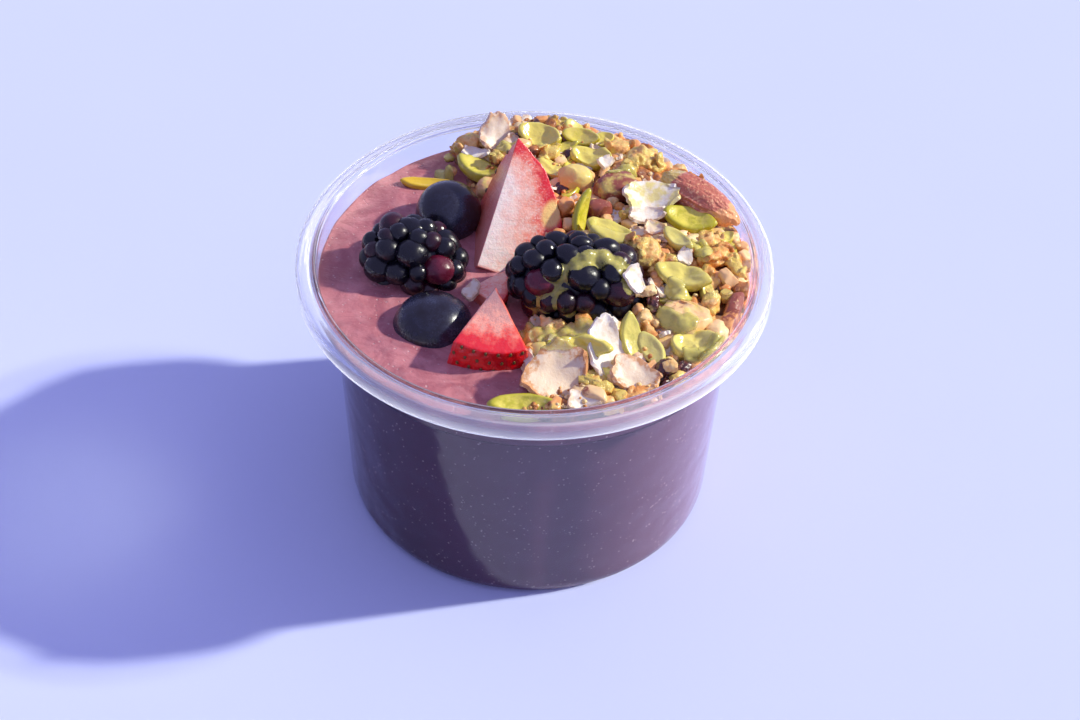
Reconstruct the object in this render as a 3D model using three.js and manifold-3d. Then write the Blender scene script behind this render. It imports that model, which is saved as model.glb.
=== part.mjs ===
// Acai bowl: a clear plastic tub filled with thick acai, topped with berries, cut strawberries
// and a crescent of granola with seeds, coconut flakes and nut butter.
// Millimetres, +Z up. The origin is the middle of the base, on the surface that the tub stands on.

import * as THREE from 'three';
import { ConvexGeometry } from 'three/addons/geometries/ConvexGeometry.js';
import { mergeVertices } from 'three/addons/utils/BufferGeometryUtils.js';
import Module from 'manifold-3d';

const wasm = await Module();
wasm.setup();

// ---------------------------------------------------------------- driving dimensions

const AROUND = 40; // facets round the tub and its filling
const ARC_STEPS = 1; // two facets in each rounded corner
const GAP = 0.3; // air between pieces that touch
const HOLLOW_REACH = 1.4 * GAP; // a corner's normal leans, so its faces move by less than this
const MERGE_DISTANCE = 1e-3;
const TURN = 2 * Math.PI;

const tub = {
  wall: 0.7,
  baseRadius: 38.7, // outside, where the side would meet the table
  taper: 0.053, // growth of the radius for each millimetre of height
  corner: 3.4, // outside radius between base and side
  footRadius: 33, // inner edge of the ring that the tub stands on
  kick: 1.0, // how far the middle of the base is raised
  shoulderHeight: 49.4, // where the side steps out to carry a stacked tub
  shoulderRise: 0.9,
  neckRadius: 44.5, // inside, at the level of the filling
  neckFlare: 0.5, // how much narrower the neck is at the shoulder
  rimTop: 60.8,
  rimRadius: 49,
  rimRound: 1.6,
  skirtBottom: 56.6,
  grooveRadius: 46.1,
  grooveDepth: 0.45,
  grooveHalfWidth: 0.6,
};

const filling = {
  level: 56.15,
  fall: 0.014, // the surface drops by this for each millimetre towards the back
  wave: 0.28, // height of the soft swirls
  waveLength: 17,
  swirl: { bend: 0.9, stretch: 0.8, shift: 0.6 },
  calm: [-9, -3], // the swirls die out over these distances to the granola's inner edge
  rings: [0.93, 0.8, 0.64, 0.46, 0.26], // of the filling's radius
};

// Ellipsoid fruits: centre and half sizes.
const blueberries = {
  blueberry_front: { centre: [-20.0, -16.2, 55.2], half: [8.2, 7.9, 6.7], yaw: 12 },
  blueberry_back: { centre: [-18.5, 15.6, 58.2], half: [7.0, 7.2, 6.9], yaw: -20 },
};

const BLUEBERRY_FACETS = 16;

// Berries made of drupelets. Yaw and pitch are degrees, about +Z and then the turned +Y.
const brambles = {
  bramble_left: {
    centre: [-24.9, 0.4, 58.4], length: 23.4, radius: 9.2, drupelet: 3.15, yaw: -14, pitch: 6,
  },
  bramble_right: {
    centre: [8.6, -9.0, 62.4], length: 29.4, radius: 10.3, drupelet: 3.3, yaw: -4, pitch: 4,
  },
};

// How drupelets sit, in drupelet radii: steps between rings and in a ring, and the core's depth.
const bramble = {
  ringStep: 1.72, step: 1.8, fewest: 4, coreDepth: 0.85, coreFacets: 10, uneven: 0.06,
};

// Strands of nut butter over the right bramble: places as a share of its half length and degrees
// round its axis, where 90 is the top and 180 faces the front.
const drizzles = [
  {
    stops: [[0.62, 40], [0.5, 74], [0.28, 100], [-0.05, 112], [-0.2, 140], [-0.24, 180]],
    width: 3.2,
  },
  { stops: [[0.28, 100], [0.55, 112], [0.72, 140], [0.66, 175]], width: 2.6 },
];

// Pieces of strawberry between two flat cuts that meet at the core. The core runs from the stem
// end towards the tip; one cut looks up and passes through a third point, and the opening is the
// angle down to the other. tipLost is how much of the tip is missing: the piece ends flat there.
// The whole fruit's radius grows from the tip by the slope at first and tends to its full value.
const strawberries = {
  strawberry_tall: {
    stem: [-11.8, -0.2, 57.6], tip: [-4.3, 20.2, 75.6], face: [4.6, 5.8, 58.8], opening: 96,
    radius: 20, slope: 1.08, tipLost: 2.6,
  },
  strawberry_small: {
    stem: [-8.3, -12.4, 56.8], tip: [-7.5, -14.0, 64.6], face: [-16.3, -29.9, 62.2], opening: 54,
    radius: 19.5, slope: 1.1, tipLost: 21.5,
  },
  strawberry_chunk: {
    stem: [-13.0, -8.0, 58.6], tip: [-5.0, -0.8, 58.0], face: [-5.2, -8.8, 59.0], opening: 84,
    radius: 10.5, slope: 1.3, tipLost: 0,
  },
};
const STRAWBERRY_STEPS = 6;
const STRAWBERRY_FACET = 13; // degrees of skin in each facet

// Small toppings that lie on a fruit: kind, middle, size, then yaw, pitch and roll.
const crumbs = {
  bramble_right: [
    ['flake', [19.8, -13.7, 67.3], [5.6, 4.8, 0.9], [-38, 53, 0]],
    ['chunk', [22.3, -12.6, 63.2], [3.2, 2.8, 2.6], [20, 0, 0]],
  ],
  strawberry_chunk: [
    ['flake', [-12.4, -9.6, 59.4], [4.4, 3.0, 0.8], [50, -30, 0]],
  ],
};

const almond = {
  centre: [34.0, 16.8, 63.4], half: [10.3, 4.7, 4.0], yaw: -38, pitch: 6, roll: -24,
};

const ALMOND_FACETS = 14;

// A hulled pumpkin seed that lies by itself, half sunk in the filling.
const loneSeed = { centre: [-23.9, 27.4, 56.2], size: [11.4, 4.8, 2.6], yaw: -2 };

const heap = {
  radius: 44.0, // outer edge, against the neck
  edgeAtMiddle: -6.4, // x of the inner edge at y = 0
  edgeSlope: -0.33, // how the inner edge leans to the left towards the back
  edgeLimit: -1.0, // the inner edge goes no further right than this
  reachShare: 0.985, // how near the crescent's horns come to the front and back of the neck
  edgeHeight: 0.7,
  frontHeight: 1.9,
  backHeight: 5.4,
  neckShare: 0.55, // height against the neck, as a share of the crest
  crestAlong: [0.05, 0.55], // the crest rises over this stretch from the front horn
  riseWidth: 0.35, // share of the width over which the heap rises from its inner edge
  fallFrom: 0.6,
  bump: 0.4,
  bumpWaves: [[0.55, 0.2], [-0.1, 0.5]], // turns of two crossing waves, radians for each mm
  evenHorns: 0.6, // how far the cells are drawn together at the horns
  cellsAcross: 5,
  cellsAlong: 14,
};

// ---------------------------------------------------------------- numbers and places

const radians = THREE.MathUtils.degToRad;
const { lerp, smoothstep } = THREE.MathUtils;

function seededRandom(seed) {
  let state = seed;
  return () => {
    state = (Math.imul(state, 1664525) + 1013904223) >>> 0;
    return state / 2 ** 32;
  };
}

function placeMatrix({ centre, yaw = 0, pitch = 0, roll = 0 }) {
  const turn = new THREE.Euler(radians(roll), radians(pitch), radians(yaw), 'ZYX');
  const matrix = new THREE.Matrix4().makeRotationFromEuler(turn);
  return matrix.setPosition(...centre);
}

// ---------------------------------------------------------------- solids

function signedVolume(positions, index) {
  const corners = [0, 1, 2].map(() => new THREE.Vector3());
  let volume = 0;
  for (let i = 0; i < index.length; i += 3) {
    corners.forEach((corner, k) => corner.fromBufferAttribute(positions, index[i + k]));
    volume += corners[0].dot(corners[1].cross(corners[2])) / 6;
  }
  return volume;
}

// A geometry with shared corners, no collapsed triangles and its faces pointing out.
function closedGeometry(geometry) {
  const bare = new THREE.BufferGeometry();
  bare.setAttribute('position', geometry.attributes.position.clone());
  bare.setIndex(geometry.index);
  const merged = mergeVertices(bare, MERGE_DISTANCE);
  const source = merged.index.array;
  const index = [];
  for (let i = 0; i < source.length; i += 3) {
    const [a, b, c] = source.slice(i, i + 3);
    if (a !== b && b !== c && c !== a) index.push(a, b, c);
  }
  if (signedVolume(merged.attributes.position, index) < 0) index.reverse();
  merged.setIndex(index);
  return merged;
}

function solidOf(geometry) {
  const closed = closedGeometry(geometry);
  return new wasm.Manifold(new wasm.Mesh({
    numProp: 3,
    vertProperties: new Float32Array(closed.attributes.position.array),
    triVerts: new Uint32Array(closed.index.array),
  }));
}

// The largest body of a solid: loose scraps go, and so do hollows that joining has sealed.
function largestBody(solid) {
  const bodies = solid.decompose();
  return bodies.reduce((best, body) => (body.volume() > best.volume() ? body : best));
}

function geometryOf(solid) {
  const mesh = largestBody(solid).getMesh();
  const geometry = new THREE.BufferGeometry();
  geometry.setAttribute('position', new THREE.BufferAttribute(mesh.vertProperties, 3));
  geometry.setIndex(new THREE.BufferAttribute(mesh.triVerts, 1));
  geometry.computeVertexNormals();
  return geometry;
}

// Moves every corner of a geometry by a function that changes the vector it is given.
function reshape(geometry, change) {
  const positions = geometry.attributes.position;
  const corner = new THREE.Vector3();
  for (let i = 0; i < positions.count; i += 1) {
    corner.fromBufferAttribute(positions, i);
    change(corner);
    positions.setXYZ(i, corner.x, corner.y, corner.z);
  }
  return geometry;
}

// Turns an outline of radius and height round +Z.
function turned(points) {
  return new THREE.LatheGeometry(points, AROUND).rotateX(Math.PI / 2);
}

function placed(geometry, place) {
  return geometry.applyMatrix4(placeMatrix(place));
}

const overlaps = (solid, other) => solid.intersect(other).volume() > MERGE_DISTANCE;
const without = (solid, spaces) => spaces.reduce((rest, space) => rest.subtract(space), solid);

// ---------------------------------------------------------------- tub

const sideRadius = (height) => tub.baseRadius + tub.taper * height;

// The inside of the tub from the middle of the base up to the rim, moved in by an inset.
function insideOutline(inset) {
  const inside = tub.wall + inset;
  const round = tub.corner - inside;
  const cornerHeight = inside + round;
  const shoulder = tub.shoulderHeight + tub.wall / 2;
  const neck = tub.neckRadius - inset;
  const outline = new THREE.Path();
  outline.moveTo(0, tub.kick + inside);
  outline.lineTo(tub.footRadius - 2 * tub.kick, tub.kick + inside);
  outline.lineTo(tub.footRadius, inside);
  outline.absarc(sideRadius(cornerHeight) - inside - round, cornerHeight, round, -Math.PI / 2, 0);
  outline.lineTo(sideRadius(shoulder) - inside, shoulder + inset);
  outline.lineTo(neck - tub.neckFlare, shoulder + tub.shoulderRise + inset);
  return outline;
}

function tubGeometry() {
  const rimInside = tub.rimTop - tub.wall;
  const skirtInside = tub.rimRadius - tub.wall;
  const outline = insideOutline(0);
  outline.lineTo(tub.neckRadius, rimInside);
  outline.lineTo(tub.neckRadius + tub.wall, tub.rimTop);
  outline.lineTo(tub.grooveRadius - tub.grooveHalfWidth, tub.rimTop);
  outline.lineTo(tub.grooveRadius, tub.rimTop - tub.grooveDepth);
  outline.lineTo(tub.grooveRadius + tub.grooveHalfWidth, tub.rimTop);
  outline.absarc(
    tub.rimRadius - tub.rimRound, tub.rimTop - tub.rimRound, tub.rimRound, Math.PI / 2, 0, true);
  outline.lineTo(tub.rimRadius, tub.skirtBottom);
  outline.lineTo(skirtInside, tub.skirtBottom);
  outline.lineTo(skirtInside, rimInside - tub.wall);
  outline.lineTo(skirtInside - tub.wall, rimInside);
  outline.lineTo(tub.neckRadius + tub.wall, rimInside);
  outline.lineTo(
    tub.neckRadius + tub.wall - tub.neckFlare, tub.shoulderHeight + tub.shoulderRise);
  outline.lineTo(sideRadius(tub.shoulderHeight), tub.shoulderHeight);
  outline.absarc(
    sideRadius(tub.corner) - tub.corner, tub.corner, tub.corner, 0, -Math.PI / 2, true);
  outline.lineTo(tub.footRadius, 0);
  outline.lineTo(tub.footRadius - 2 * tub.kick, tub.kick);
  outline.lineTo(0, tub.kick);
  outline.closePath();
  return turned(outline.getPoints(ARC_STEPS));
}

// ---------------------------------------------------------------- acai filling

// x of the granola's inner edge.
function heapEdge(y) {
  return Math.min(heap.edgeLimit, heap.edgeAtMiddle + heap.edgeSlope * y);
}

// Height of the filling's surface: it swirls where it is bare and is flat under the granola.
function fillingTop(x, y) {
  const { bend, stretch, shift } = filling.swirl;
  const [u, v] = [x, y].map((length) => (TURN * length) / filling.waveLength);
  const swirl = Math.sin(u + bend * Math.cos(v)) * Math.cos(stretch * v + shift);
  const bare = 1 - smoothstep(x - heapEdge(y), ...filling.calm);
  return filling.level - filling.fall * y + filling.wave * swirl * bare;
}

// The filling, grown by an allowance on its surface only.
function fillingGeometry(raise = 0) {
  const outline = insideOutline(GAP);
  const radius = tub.neckRadius - GAP;
  outline.lineTo(radius - tub.neckFlare / 2, filling.level);
  filling.rings.forEach((share) => outline.lineTo(share * radius, filling.level));
  outline.lineTo(0, filling.level);
  const onTop = filling.level - MERGE_DISTANCE;
  return reshape(turned(outline.getPoints(ARC_STEPS)), (corner) => {
    if (corner.z > onTop) corner.z = fillingTop(corner.x, corner.y) + raise;
  });
}

// ---------------------------------------------------------------- fruit

function ellipsoidGeometry(half, facets) {
  return new THREE.SphereGeometry(1, facets, facets / 2 + 1).rotateX(Math.PI / 2).scale(...half);
}

// The space that a piece needs in what it is pressed into or leans on.
function hollowFor(geometry) {
  const grown = closedGeometry(geometry);
  grown.computeVertexNormals();
  const positions = grown.attributes.position;
  const normals = grown.attributes.normal;
  for (let i = 0; i < positions.count; i += 1) {
    const corner = new THREE.Vector3().fromBufferAttribute(positions, i);
    corner.addScaledVector(new THREE.Vector3().fromBufferAttribute(normals, i), HOLLOW_REACH);
    positions.setXYZ(i, ...corner);
  }
  return solidOf(grown);
}

// The convex form round an uneven solid.
function hullOf(solid) {
  const corners = geometryOf(solid).attributes.position;
  const points = Array.from(
    { length: corners.count }, (_, i) => new THREE.Vector3().fromBufferAttribute(corners, i));
  return new ConvexGeometry(points);
}

function blueberryGeometry({ centre, half, yaw }) {
  return placed(ellipsoidGeometry(half, BLUEBERRY_FACETS), { centre, yaw });
}

// Rings of drupelets round the long axis, staggered, on a smaller core.
function brambleSolid(berry) {
  const { length, radius, drupelet } = berry;
  const random = seededRandom(Math.round(length * radius));
  const reach = length / 2 - drupelet;
  const ringCount = Math.round((2 * reach) / (bramble.ringStep * drupelet));
  const coreHalf = [length / 2, radius, radius].map((size) => size - bramble.coreDepth * drupelet);
  let solid = solidOf(placed(ellipsoidGeometry(coreHalf, bramble.coreFacets), berry));
  const place = placeMatrix(berry);
  const addDrupelet = (along, out, angle) => {
    const size = drupelet * (1 + bramble.uneven * (2 * random() - 1));
    const centre = new THREE.Vector3(along, out * Math.cos(angle), out * Math.sin(angle));
    const ball = new THREE.OctahedronGeometry(size, 1).rotateX(random() * TURN);
    ball.rotateZ(random() * TURN).translate(...centre.applyMatrix4(place));
    solid = solid.add(solidOf(ball));
  };
  for (let ring = 0; ring < ringCount; ring += 1) {
    const along = lerp(-reach, reach, (ring + 0.5) / ringCount);
    const out = (radius - drupelet) * Math.sqrt(1 - (along / (length / 2)) ** 2);
    const count = Math.max(bramble.fewest, Math.round((TURN * out) / (bramble.step * drupelet)));
    for (let k = 0; k < count; k += 1) {
      addDrupelet(along, out, ((k + 0.5 * (ring % 2)) / count) * TURN);
    }
  }
  addDrupelet(-reach, 0, 0);
  addDrupelet(reach, 0, 0);
  return solid;
}

// A piece of strawberry: part of a turned form, closed by its two cuts.
function strawberryGeometry(wedge) {
  const { stem, tip, face, opening, radius, slope, tipLost } = wedge;
  const base = new THREE.Vector3(...stem);
  const axis = new THREE.Vector3(...tip).sub(base);
  const length = axis.length();
  axis.normalize();
  const across = new THREE.Vector3(...face).sub(base);
  across.addScaledVector(axis, -across.dot(axis)).normalize();
  const outward = new THREE.Vector3().crossVectors(across, axis);
  const outline = [new THREE.Vector2(0, 0)];
  for (let step = 0; step <= STRAWBERRY_STEPS; step += 1) {
    const fromStem = (length * step) / STRAWBERRY_STEPS;
    const grown = Math.tanh((slope * (length - fromStem + tipLost)) / radius);
    outline.push(new THREE.Vector2(radius * grown, fromStem));
  }
  if (tipLost > 0) outline.push(new THREE.Vector2(0, length));
  const facets = Math.round(opening / STRAWBERRY_FACET);
  const start = outward.z > 0 ? Math.PI / 2 : Math.PI / 2 - radians(opening);
  const skin = new THREE.LatheGeometry(outline, facets, start, radians(opening));
  const farCut = facets * outline.length;
  const index = [...skin.index.array];
  for (let k = 1; k < outline.length - 1; k += 1) {
    index.push(0, k, k + 1, farCut, farCut + k + 1, farCut + k);
  }
  skin.setIndex(index);
  const place = new THREE.Matrix4().makeBasis(across, axis, outward).setPosition(base);
  return skin.applyMatrix4(place);
}

// A pointed, slightly flattened kernel with its long axis along X.
function kernelGeometry(half, facets, point) {
  const kernel = new THREE.SphereGeometry(1, facets, facets / 2).rotateZ(-Math.PI / 2);
  return reshape(kernel, (corner) => {
    const narrowing = 1 - point * Math.max(0, corner.x) ** 2;
    corner.set(corner.x, corner.y * narrowing, corner.z * narrowing);
  }).scale(...half);
}

// ---------------------------------------------------------------- granola heap

// Height of the bare core's top.
function heapTop(x, y) {
  const edge = heapEdge(y);
  const across = (x - edge) / (Math.sqrt(heap.radius ** 2 - y ** 2) - edge);
  const along = (y / heap.radius + 1) / 2;
  const crest = lerp(heap.frontHeight, heap.backHeight, smoothstep(along, ...heap.crestAlong));
  const rise = lerp(heap.edgeHeight, crest, smoothstep(across, 0, heap.riseWidth));
  const fall = lerp(1, heap.neckShare, smoothstep(across, heap.fallFrom, 1));
  const [first, second] = heap.bumpWaves.map(([u, v]) => Math.sin(u * x + v * y));
  const bumps = heap.bump * first * second * smoothstep(across, 0, heap.riseWidth);
  return heapBottom(x, y) + rise * fall + bumps;
}

function heapBottom(x, y) {
  return fillingTop(x, y) + 1.5 * GAP;
}

// A place in the crescent from its two shares.
function heapPlace(across, along) {
  const y = heap.radius * lerp(-heap.reachShare, heap.reachShare, along);
  const edge = heapEdge(y);
  return [lerp(edge, Math.sqrt(heap.radius ** 2 - y ** 2), across), y];
}

function heapCoreGeometry() {
  const block = new THREE.BoxGeometry(1, 1, 1, heap.cellsAcross, heap.cellsAlong, 1);
  return reshape(block.translate(0.5, 0.5, 0.5), (corner) => {
    const evenAngle = (1 - Math.cos(Math.PI * corner.y)) / 2;
    const [x, y] = heapPlace(corner.x, lerp(corner.y, evenAngle, heap.evenHorns));
    corner.set(x, y, corner.z > 0.5 ? heapTop(x, y) : heapBottom(x, y));
  });
}

const pieceShape = {
  seedFacets: 6,
  seedDish: 0.5, // rise of the ends, as a share of the thickness
  flakeCells: 3,
  flakeTaper: 0.28,
  flakeEnds: 0.1,
  flakeCurl: 0.14,
  chunkCorner: [0.72, 0.96], // where a chunk's corners may lie between its middle and its box
  kernelFacets: 10,
  point: 0.3, // how much the pointed end narrows
};

// Makers of the small pieces. Each takes its size along X, Y and Z.
const pieceMakers = {
  // hulled pumpkin seed, dished along its length
  seed: ([length, width, thick]) => reshape(
    kernelGeometry([length / 2, width / 2, thick / 2], pieceShape.seedFacets, pieceShape.point),
    (corner) => { corner.z += pieceShape.seedDish * thick * ((2 * corner.x) / length) ** 2; },
  ),
  // shaved coconut, a curled strip with a tapering end
  flake: ([length, width, thick]) => reshape(
    new THREE.BoxGeometry(length, width, thick, pieceShape.flakeCells, 1, 1),
    (corner) => {
      const end = (2 * corner.x) / length;
      corner.y *= 1 - pieceShape.flakeTaper * end - pieceShape.flakeEnds * end * end;
      corner.z += pieceShape.flakeCurl * length * end * end;
    },
  ),
  // chopped nut or toasted cluster, an uneven block
  chunk: (size, random) => {
    const uneven = () => lerp(...pieceShape.chunkCorner, random());
    return reshape(closedGeometry(new THREE.BoxGeometry(...size)), (corner) => {
      corner.set(corner.x * uneven(), corner.y * uneven(), corner.z * uneven());
    });
  },
  // whole nut
  kernel: ([length, width, thick]) => kernelGeometry(
    [length / 2, width / 2, thick / 2], pieceShape.kernelFacets, pieceShape.point),
};

// Pieces with a place of their own: kind, place, height of the middle over the core, size,
// then yaw, pitch and roll in degrees. A negative pitch lifts the far end.
const namedPieces = [
  ['seed', [-12.3, 29.6], 1.2, [11.8, 5.6, 2.6], [-28, 4, 0]],
  ['seed', [-1.0, -41.9], 0.7, [14.4, 5.4, 2.8], [2, 0, 34]],
  ['seed', [31.8, 10.6], 1.9, [11.8, 6.2, 3.0], [-14, 4, 12]],
  ['seed', [16.0, 4.3], 1.6, [12.8, 5.8, 2.6], [-24, 6, 10]],
  ['seed', [9.2, 9.5], 2.6, [11.4, 3.8, 1.9], [76, -42, 64]],
  ['seed', [19.6, -25.0], 2.2, [10.8, 4.8, 2.2], [104, -44, 12]],
  ['seed', [30.2, -7.4], 1.9, [12.2, 6.4, 2.6], [-18, 0, 6]],
  ['seed', [23.8, -27.0], 1.3, [9.0, 4.6, 2.2], [-58, 14, 24]],
  ['seed', [0.3, 36.4], 1.4, [10.2, 7.0, 3.0], [-22, 0, 20]],
  ['seed', [9.8, 36.2], 1.4, [11.2, 5.0, 2.4], [-12, 0, 28]],
  ['seed', [11.3, 29.9], 1.2, [9.6, 5.6, 2.8], [-12, 0, 14]],
  ['seed', [3.1, 25.2], 1.0, [8.4, 4.8, 2.2], [-40, 0, 0]],
  ['flake', [-9.6, 37.4], 3.0, [8.0, 6.6, 1.0], [88, -46, 20]],
  ['flake', [23.9, 15.4], 2.8, [12.0, 6.4, 1.0], [12, 0, 26]],
  ['flake', [23.1, 10.8], 1.6, [9.2, 4.4, 1.0], [16, 0, 20]],
  ['flake', [14.4, -28.4], 2.6, [12.6, 8.2, 1.0], [100, -36, 24]],
  ['flake', [20.6, -34.0], 1.2, [10.0, 6.8, 1.0], [-14, 14, 14]],
  ['flake', [5.4, -35.4], 2.2, [12.8, 12.2, 1.1], [66, -22, 22]],
  ['flake', [11.0, -40.2], 0.8, [6.4, 4.2, 1.0], [-4, 0, 18]],
  ['kernel', [16.6, 19.4], 1.8, [10.4, 7.6, 6.2], [16, 0, 0]],
  ['kernel', [8.0, 22.0], 1.6, [6.8, 6.4, 6.0], [3, 0, 0]],
  ['chunk', [30.2, -17.8], 0.8, [13.6, 14.4, 6.6], [12, 4, 0]],
  ['chunk', [22.3, -2.0], 1.5, [8.4, 8.8, 6.0], [0, 0, 30]],
  ['chunk', [37.2, 1.4], 1.4, [10.4, 6.8, 5.0], [39, 10, 0]],
  ['chunk', [39.6, -4.8], 1.0, [9.8, 5.4, 4.8], [-64, 0, 0]],
  ['chunk', [39.4, -13.4], 1.0, [10.4, 5.4, 4.8], [68, 0, 0]],
  ['chunk', [36.6, -20.0], 1.0, [8.4, 6.6, 4.6], [45, 0, 0]],
  ['chunk', [32.2, -24.6], 1.2, [11.0, 6.8, 4.2], [11, 0, 10]],
  ['chunk', [27.0, -31.0], 1.0, [6.8, 5.6, 5.0], [23, 0, 0]],
  ['chunk', [-14.6, 37.4], 1.6, [8.0, 7.2, 6.2], [44, 0, 0]],
  ['chunk', [-9.9, 22.8], 1.2, [6.6, 5.8, 5.4], [-14, 0, 0]],
  ['chunk', [5.9, 12.9], 1.0, [5.6, 5.2, 4.8], [-37, 0, 0]],
  ['chunk', [13.1, 12.4], 1.0, [5.0, 4.4, 4.0], [3, 0, 0]],
  ['chunk', [21.6, 29.8], 1.6, [8.6, 6.8, 5.8], [23, 0, 0]],
  ['chunk', [17.2, 34.4], 1.2, [6.6, 5.6, 5.0], [3, 0, 0]],
  ['chunk', [1.6, -26.6], 0.9, [4.6, 4.0, 4.4], [8, 0, 0]],
  ['chunk', [35.2, 7.0], 0.8, [5.6, 5.0, 4.2], [30, 0, 0]],
  ['chunk', [13.4, -37.4], 0.9, [6.2, 5.0, 4.0], [-10, 0, 0]],
];

// Kinds of drawn piece, each with the draw from 0 to 1 that it reaches up to.
const scatterKinds = [
  { kind: 'chunk', size: [5.4, 4.6, 4.0], upTo: 0.6 },
  { kind: 'seed', size: [9.8, 5.0, 2.4], upTo: 0.8 },
  { kind: 'flake', size: [7.6, 5.0, 1.0], upTo: 1 },
];

const scatter = {
  seed: 71,
  count: 22,
  across: [0.08, 0.94], // shares of the crescent's width
  growth: [0.8, 1.25],
  sink: 0.22, // of a piece's thickness, from its middle down to the core
  pitch: [-18, 18],
  roll: [-25, 25],
};

function pieceSolid(kind, size, place, random) {
  return solidOf(placed(pieceMakers[kind](size, random), place));
}

// A fruit with the small toppings that lie on it.
function withCrumbs(name, solid) {
  const random = seededRandom(name.length);
  return (crumbs[name] ?? []).reduce((joined, [kind, centre, size, [yaw, pitch, roll]]) => (
    joined.add(pieceSolid(kind, size, { centre, yaw, pitch, roll }, random))), solid);
}

// The heap: its core, the pieces with a place of their own, and small ones by a seeded draw.
// A drawn piece that would cross a topping is left out.
function heapSolid(toppings, keepOut) {
  const random = seededRandom(scatter.seed);
  let solid = without(solidOf(heapCoreGeometry()), toppings);
  for (const [kind, [x, y], lift, size, [yaw, pitch, roll]] of namedPieces) {
    const centre = [x, y, heapTop(x, y) + lift];
    solid = solid.add(pieceSolid(kind, size, { centre, yaw, pitch, roll }, random));
  }
  for (let drawn = 0; drawn < scatter.count; drawn += 1) {
    const along = (drawn + random()) / scatter.count;
    const [x, y] = heapPlace(lerp(...scatter.across, random()), along);
    const pick = random();
    const { kind, size } = scatterKinds.find(({ upTo }) => pick <= upTo);
    const grown = size.map((side) => side * lerp(...scatter.growth, random()));
    const place = {
      centre: [x, y, heapTop(x, y) + scatter.sink * grown[2]],
      yaw: lerp(0, 360, random()),
      pitch: lerp(...scatter.pitch, random()),
      roll: lerp(...scatter.roll, random()),
    };
    const piece = pieceSolid(kind, grown, place, random);
    if (!toppings.some((topping) => overlaps(piece, topping))) solid = solid.add(piece);
  }
  return without(solid, [...toppings, ...keepOut]);
}

// ---------------------------------------------------------------- drizzle

// A strand of nut butter draped over a bramble: [share along the axis, degrees round it].
function drizzleGeometry(berry, stops, width) {
  const place = placeMatrix(berry);
  const points = stops.map(([share, around]) => {
    const out = berry.radius * Math.sqrt(1 - share * share);
    const angle = radians(around);
    const point = new THREE.Vector3(
      (share * berry.length) / 2, out * Math.cos(angle), out * Math.sin(angle));
    return point.applyMatrix4(place);
  });
  const section = new THREE.Shape().absellipse(0, 0, width / 4, width / 2, 0, TURN);
  return new THREE.ExtrudeGeometry(section, {
    steps: 2 * (stops.length - 1),
    curveSegments: 2,
    bevelEnabled: false,
    extrudePath: new THREE.CatmullRomCurve3(points),
  });
}

// ---------------------------------------------------------------- assembly

const finishes = {
  clearPlastic: { color: 0xdfe4f6, roughness: 0.08, metalness: 0, transparent: true, opacity: 0.4 },
  acai: { color: 0x8a5a70, roughness: 0.45, metalness: 0 },
  blueberry: { color: 0x2a3050, roughness: 0.35, metalness: 0 },
  bramble: { color: 0x1a1826, roughness: 0.2, metalness: 0 },
  strawberry: { color: 0xd8404a, roughness: 0.35, metalness: 0 },
  granola: { color: 0xb89a5a, roughness: 0.6, metalness: 0 },
  almond: { color: 0x9c5040, roughness: 0.6, metalness: 0 },
};

const bowl = new THREE.Group();

function addNode(name, solid, finish) {
  const mesh = new THREE.Mesh(geometryOf(solid), new THREE.MeshStandardMaterial(finishes[finish]));
  mesh.name = name;
  bowl.add(mesh);
}

const mapValues = (table, change) => Object.fromEntries(
  Object.entries(table).map(([name, value]) => [name, change(value)]));

const leftBramble = brambleSolid(brambles.bramble_left);
let rightBramble = withCrumbs('bramble_right', brambleSolid(brambles.bramble_right));
for (const { stops, width } of drizzles) {
  rightBramble = rightBramble.add(
    solidOf(drizzleGeometry(brambles.bramble_right, stops, width)));
}

const wedges = mapValues(strawberries, strawberryGeometry);
const almondForm = placed(kernelGeometry(almond.half, ALMOND_FACETS, pieceShape.point), almond);
const roundHollows = mapValues({
  ...mapValues(blueberries, blueberryGeometry),
  bramble_left: hullOf(leftBramble),
  bramble_right: hullOf(rightBramble),
}, hollowFor);
const wedgeHollows = mapValues(wedges, hollowFor);
const toppings = [
  ...Object.values(roundHollows), ...Object.values(wedgeHollows), hollowFor(almondForm),
];

addNode('cup', solidOf(tubGeometry()), 'clearPlastic');

const seedOnFilling = pieceSolid('seed', loneSeed.size, loneSeed, seededRandom(1));
addNode('acai', without(solidOf(fillingGeometry()), toppings).add(seedOnFilling), 'acai');

for (const [name, berry] of Object.entries(blueberries)) {
  addNode(name, solidOf(blueberryGeometry(berry)), 'blueberry');
}

addNode('bramble_left', without(leftBramble, [
  roundHollows.blueberry_front, roundHollows.blueberry_back]), 'bramble');
addNode('bramble_right', rightBramble, 'bramble');

const cutBefore = Object.values(roundHollows);
for (const [name, wedge] of Object.entries(wedges)) {
  addNode(name, without(withCrumbs(name, solidOf(wedge)), cutBefore), 'strawberry');
  cutBefore.push(wedgeHollows[name]);
}

addNode('almond', solidOf(almondForm), 'almond');

const beyondNeck = turned([
  new THREE.Vector2(tub.neckRadius - GAP, tub.shoulderHeight),
  new THREE.Vector2(tub.rimRadius + GAP, tub.shoulderHeight),
  new THREE.Vector2(tub.rimRadius + GAP, 2 * tub.rimTop),
  new THREE.Vector2(tub.neckRadius - GAP, 2 * tub.rimTop),
  new THREE.Vector2(tub.neckRadius - GAP, tub.shoulderHeight),
]);
addNode('granola_heap', heapSolid(
  toppings, [solidOf(beyondNeck), solidOf(fillingGeometry(GAP))]), 'granola');

export default bowl;
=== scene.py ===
"""Acai bowl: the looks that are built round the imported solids.

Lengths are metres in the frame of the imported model: +Z is up, the tub's axis lies on Z and the
base stands at zero. Sizes written in millimetres are turned into metres where they are used.
"""

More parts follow.
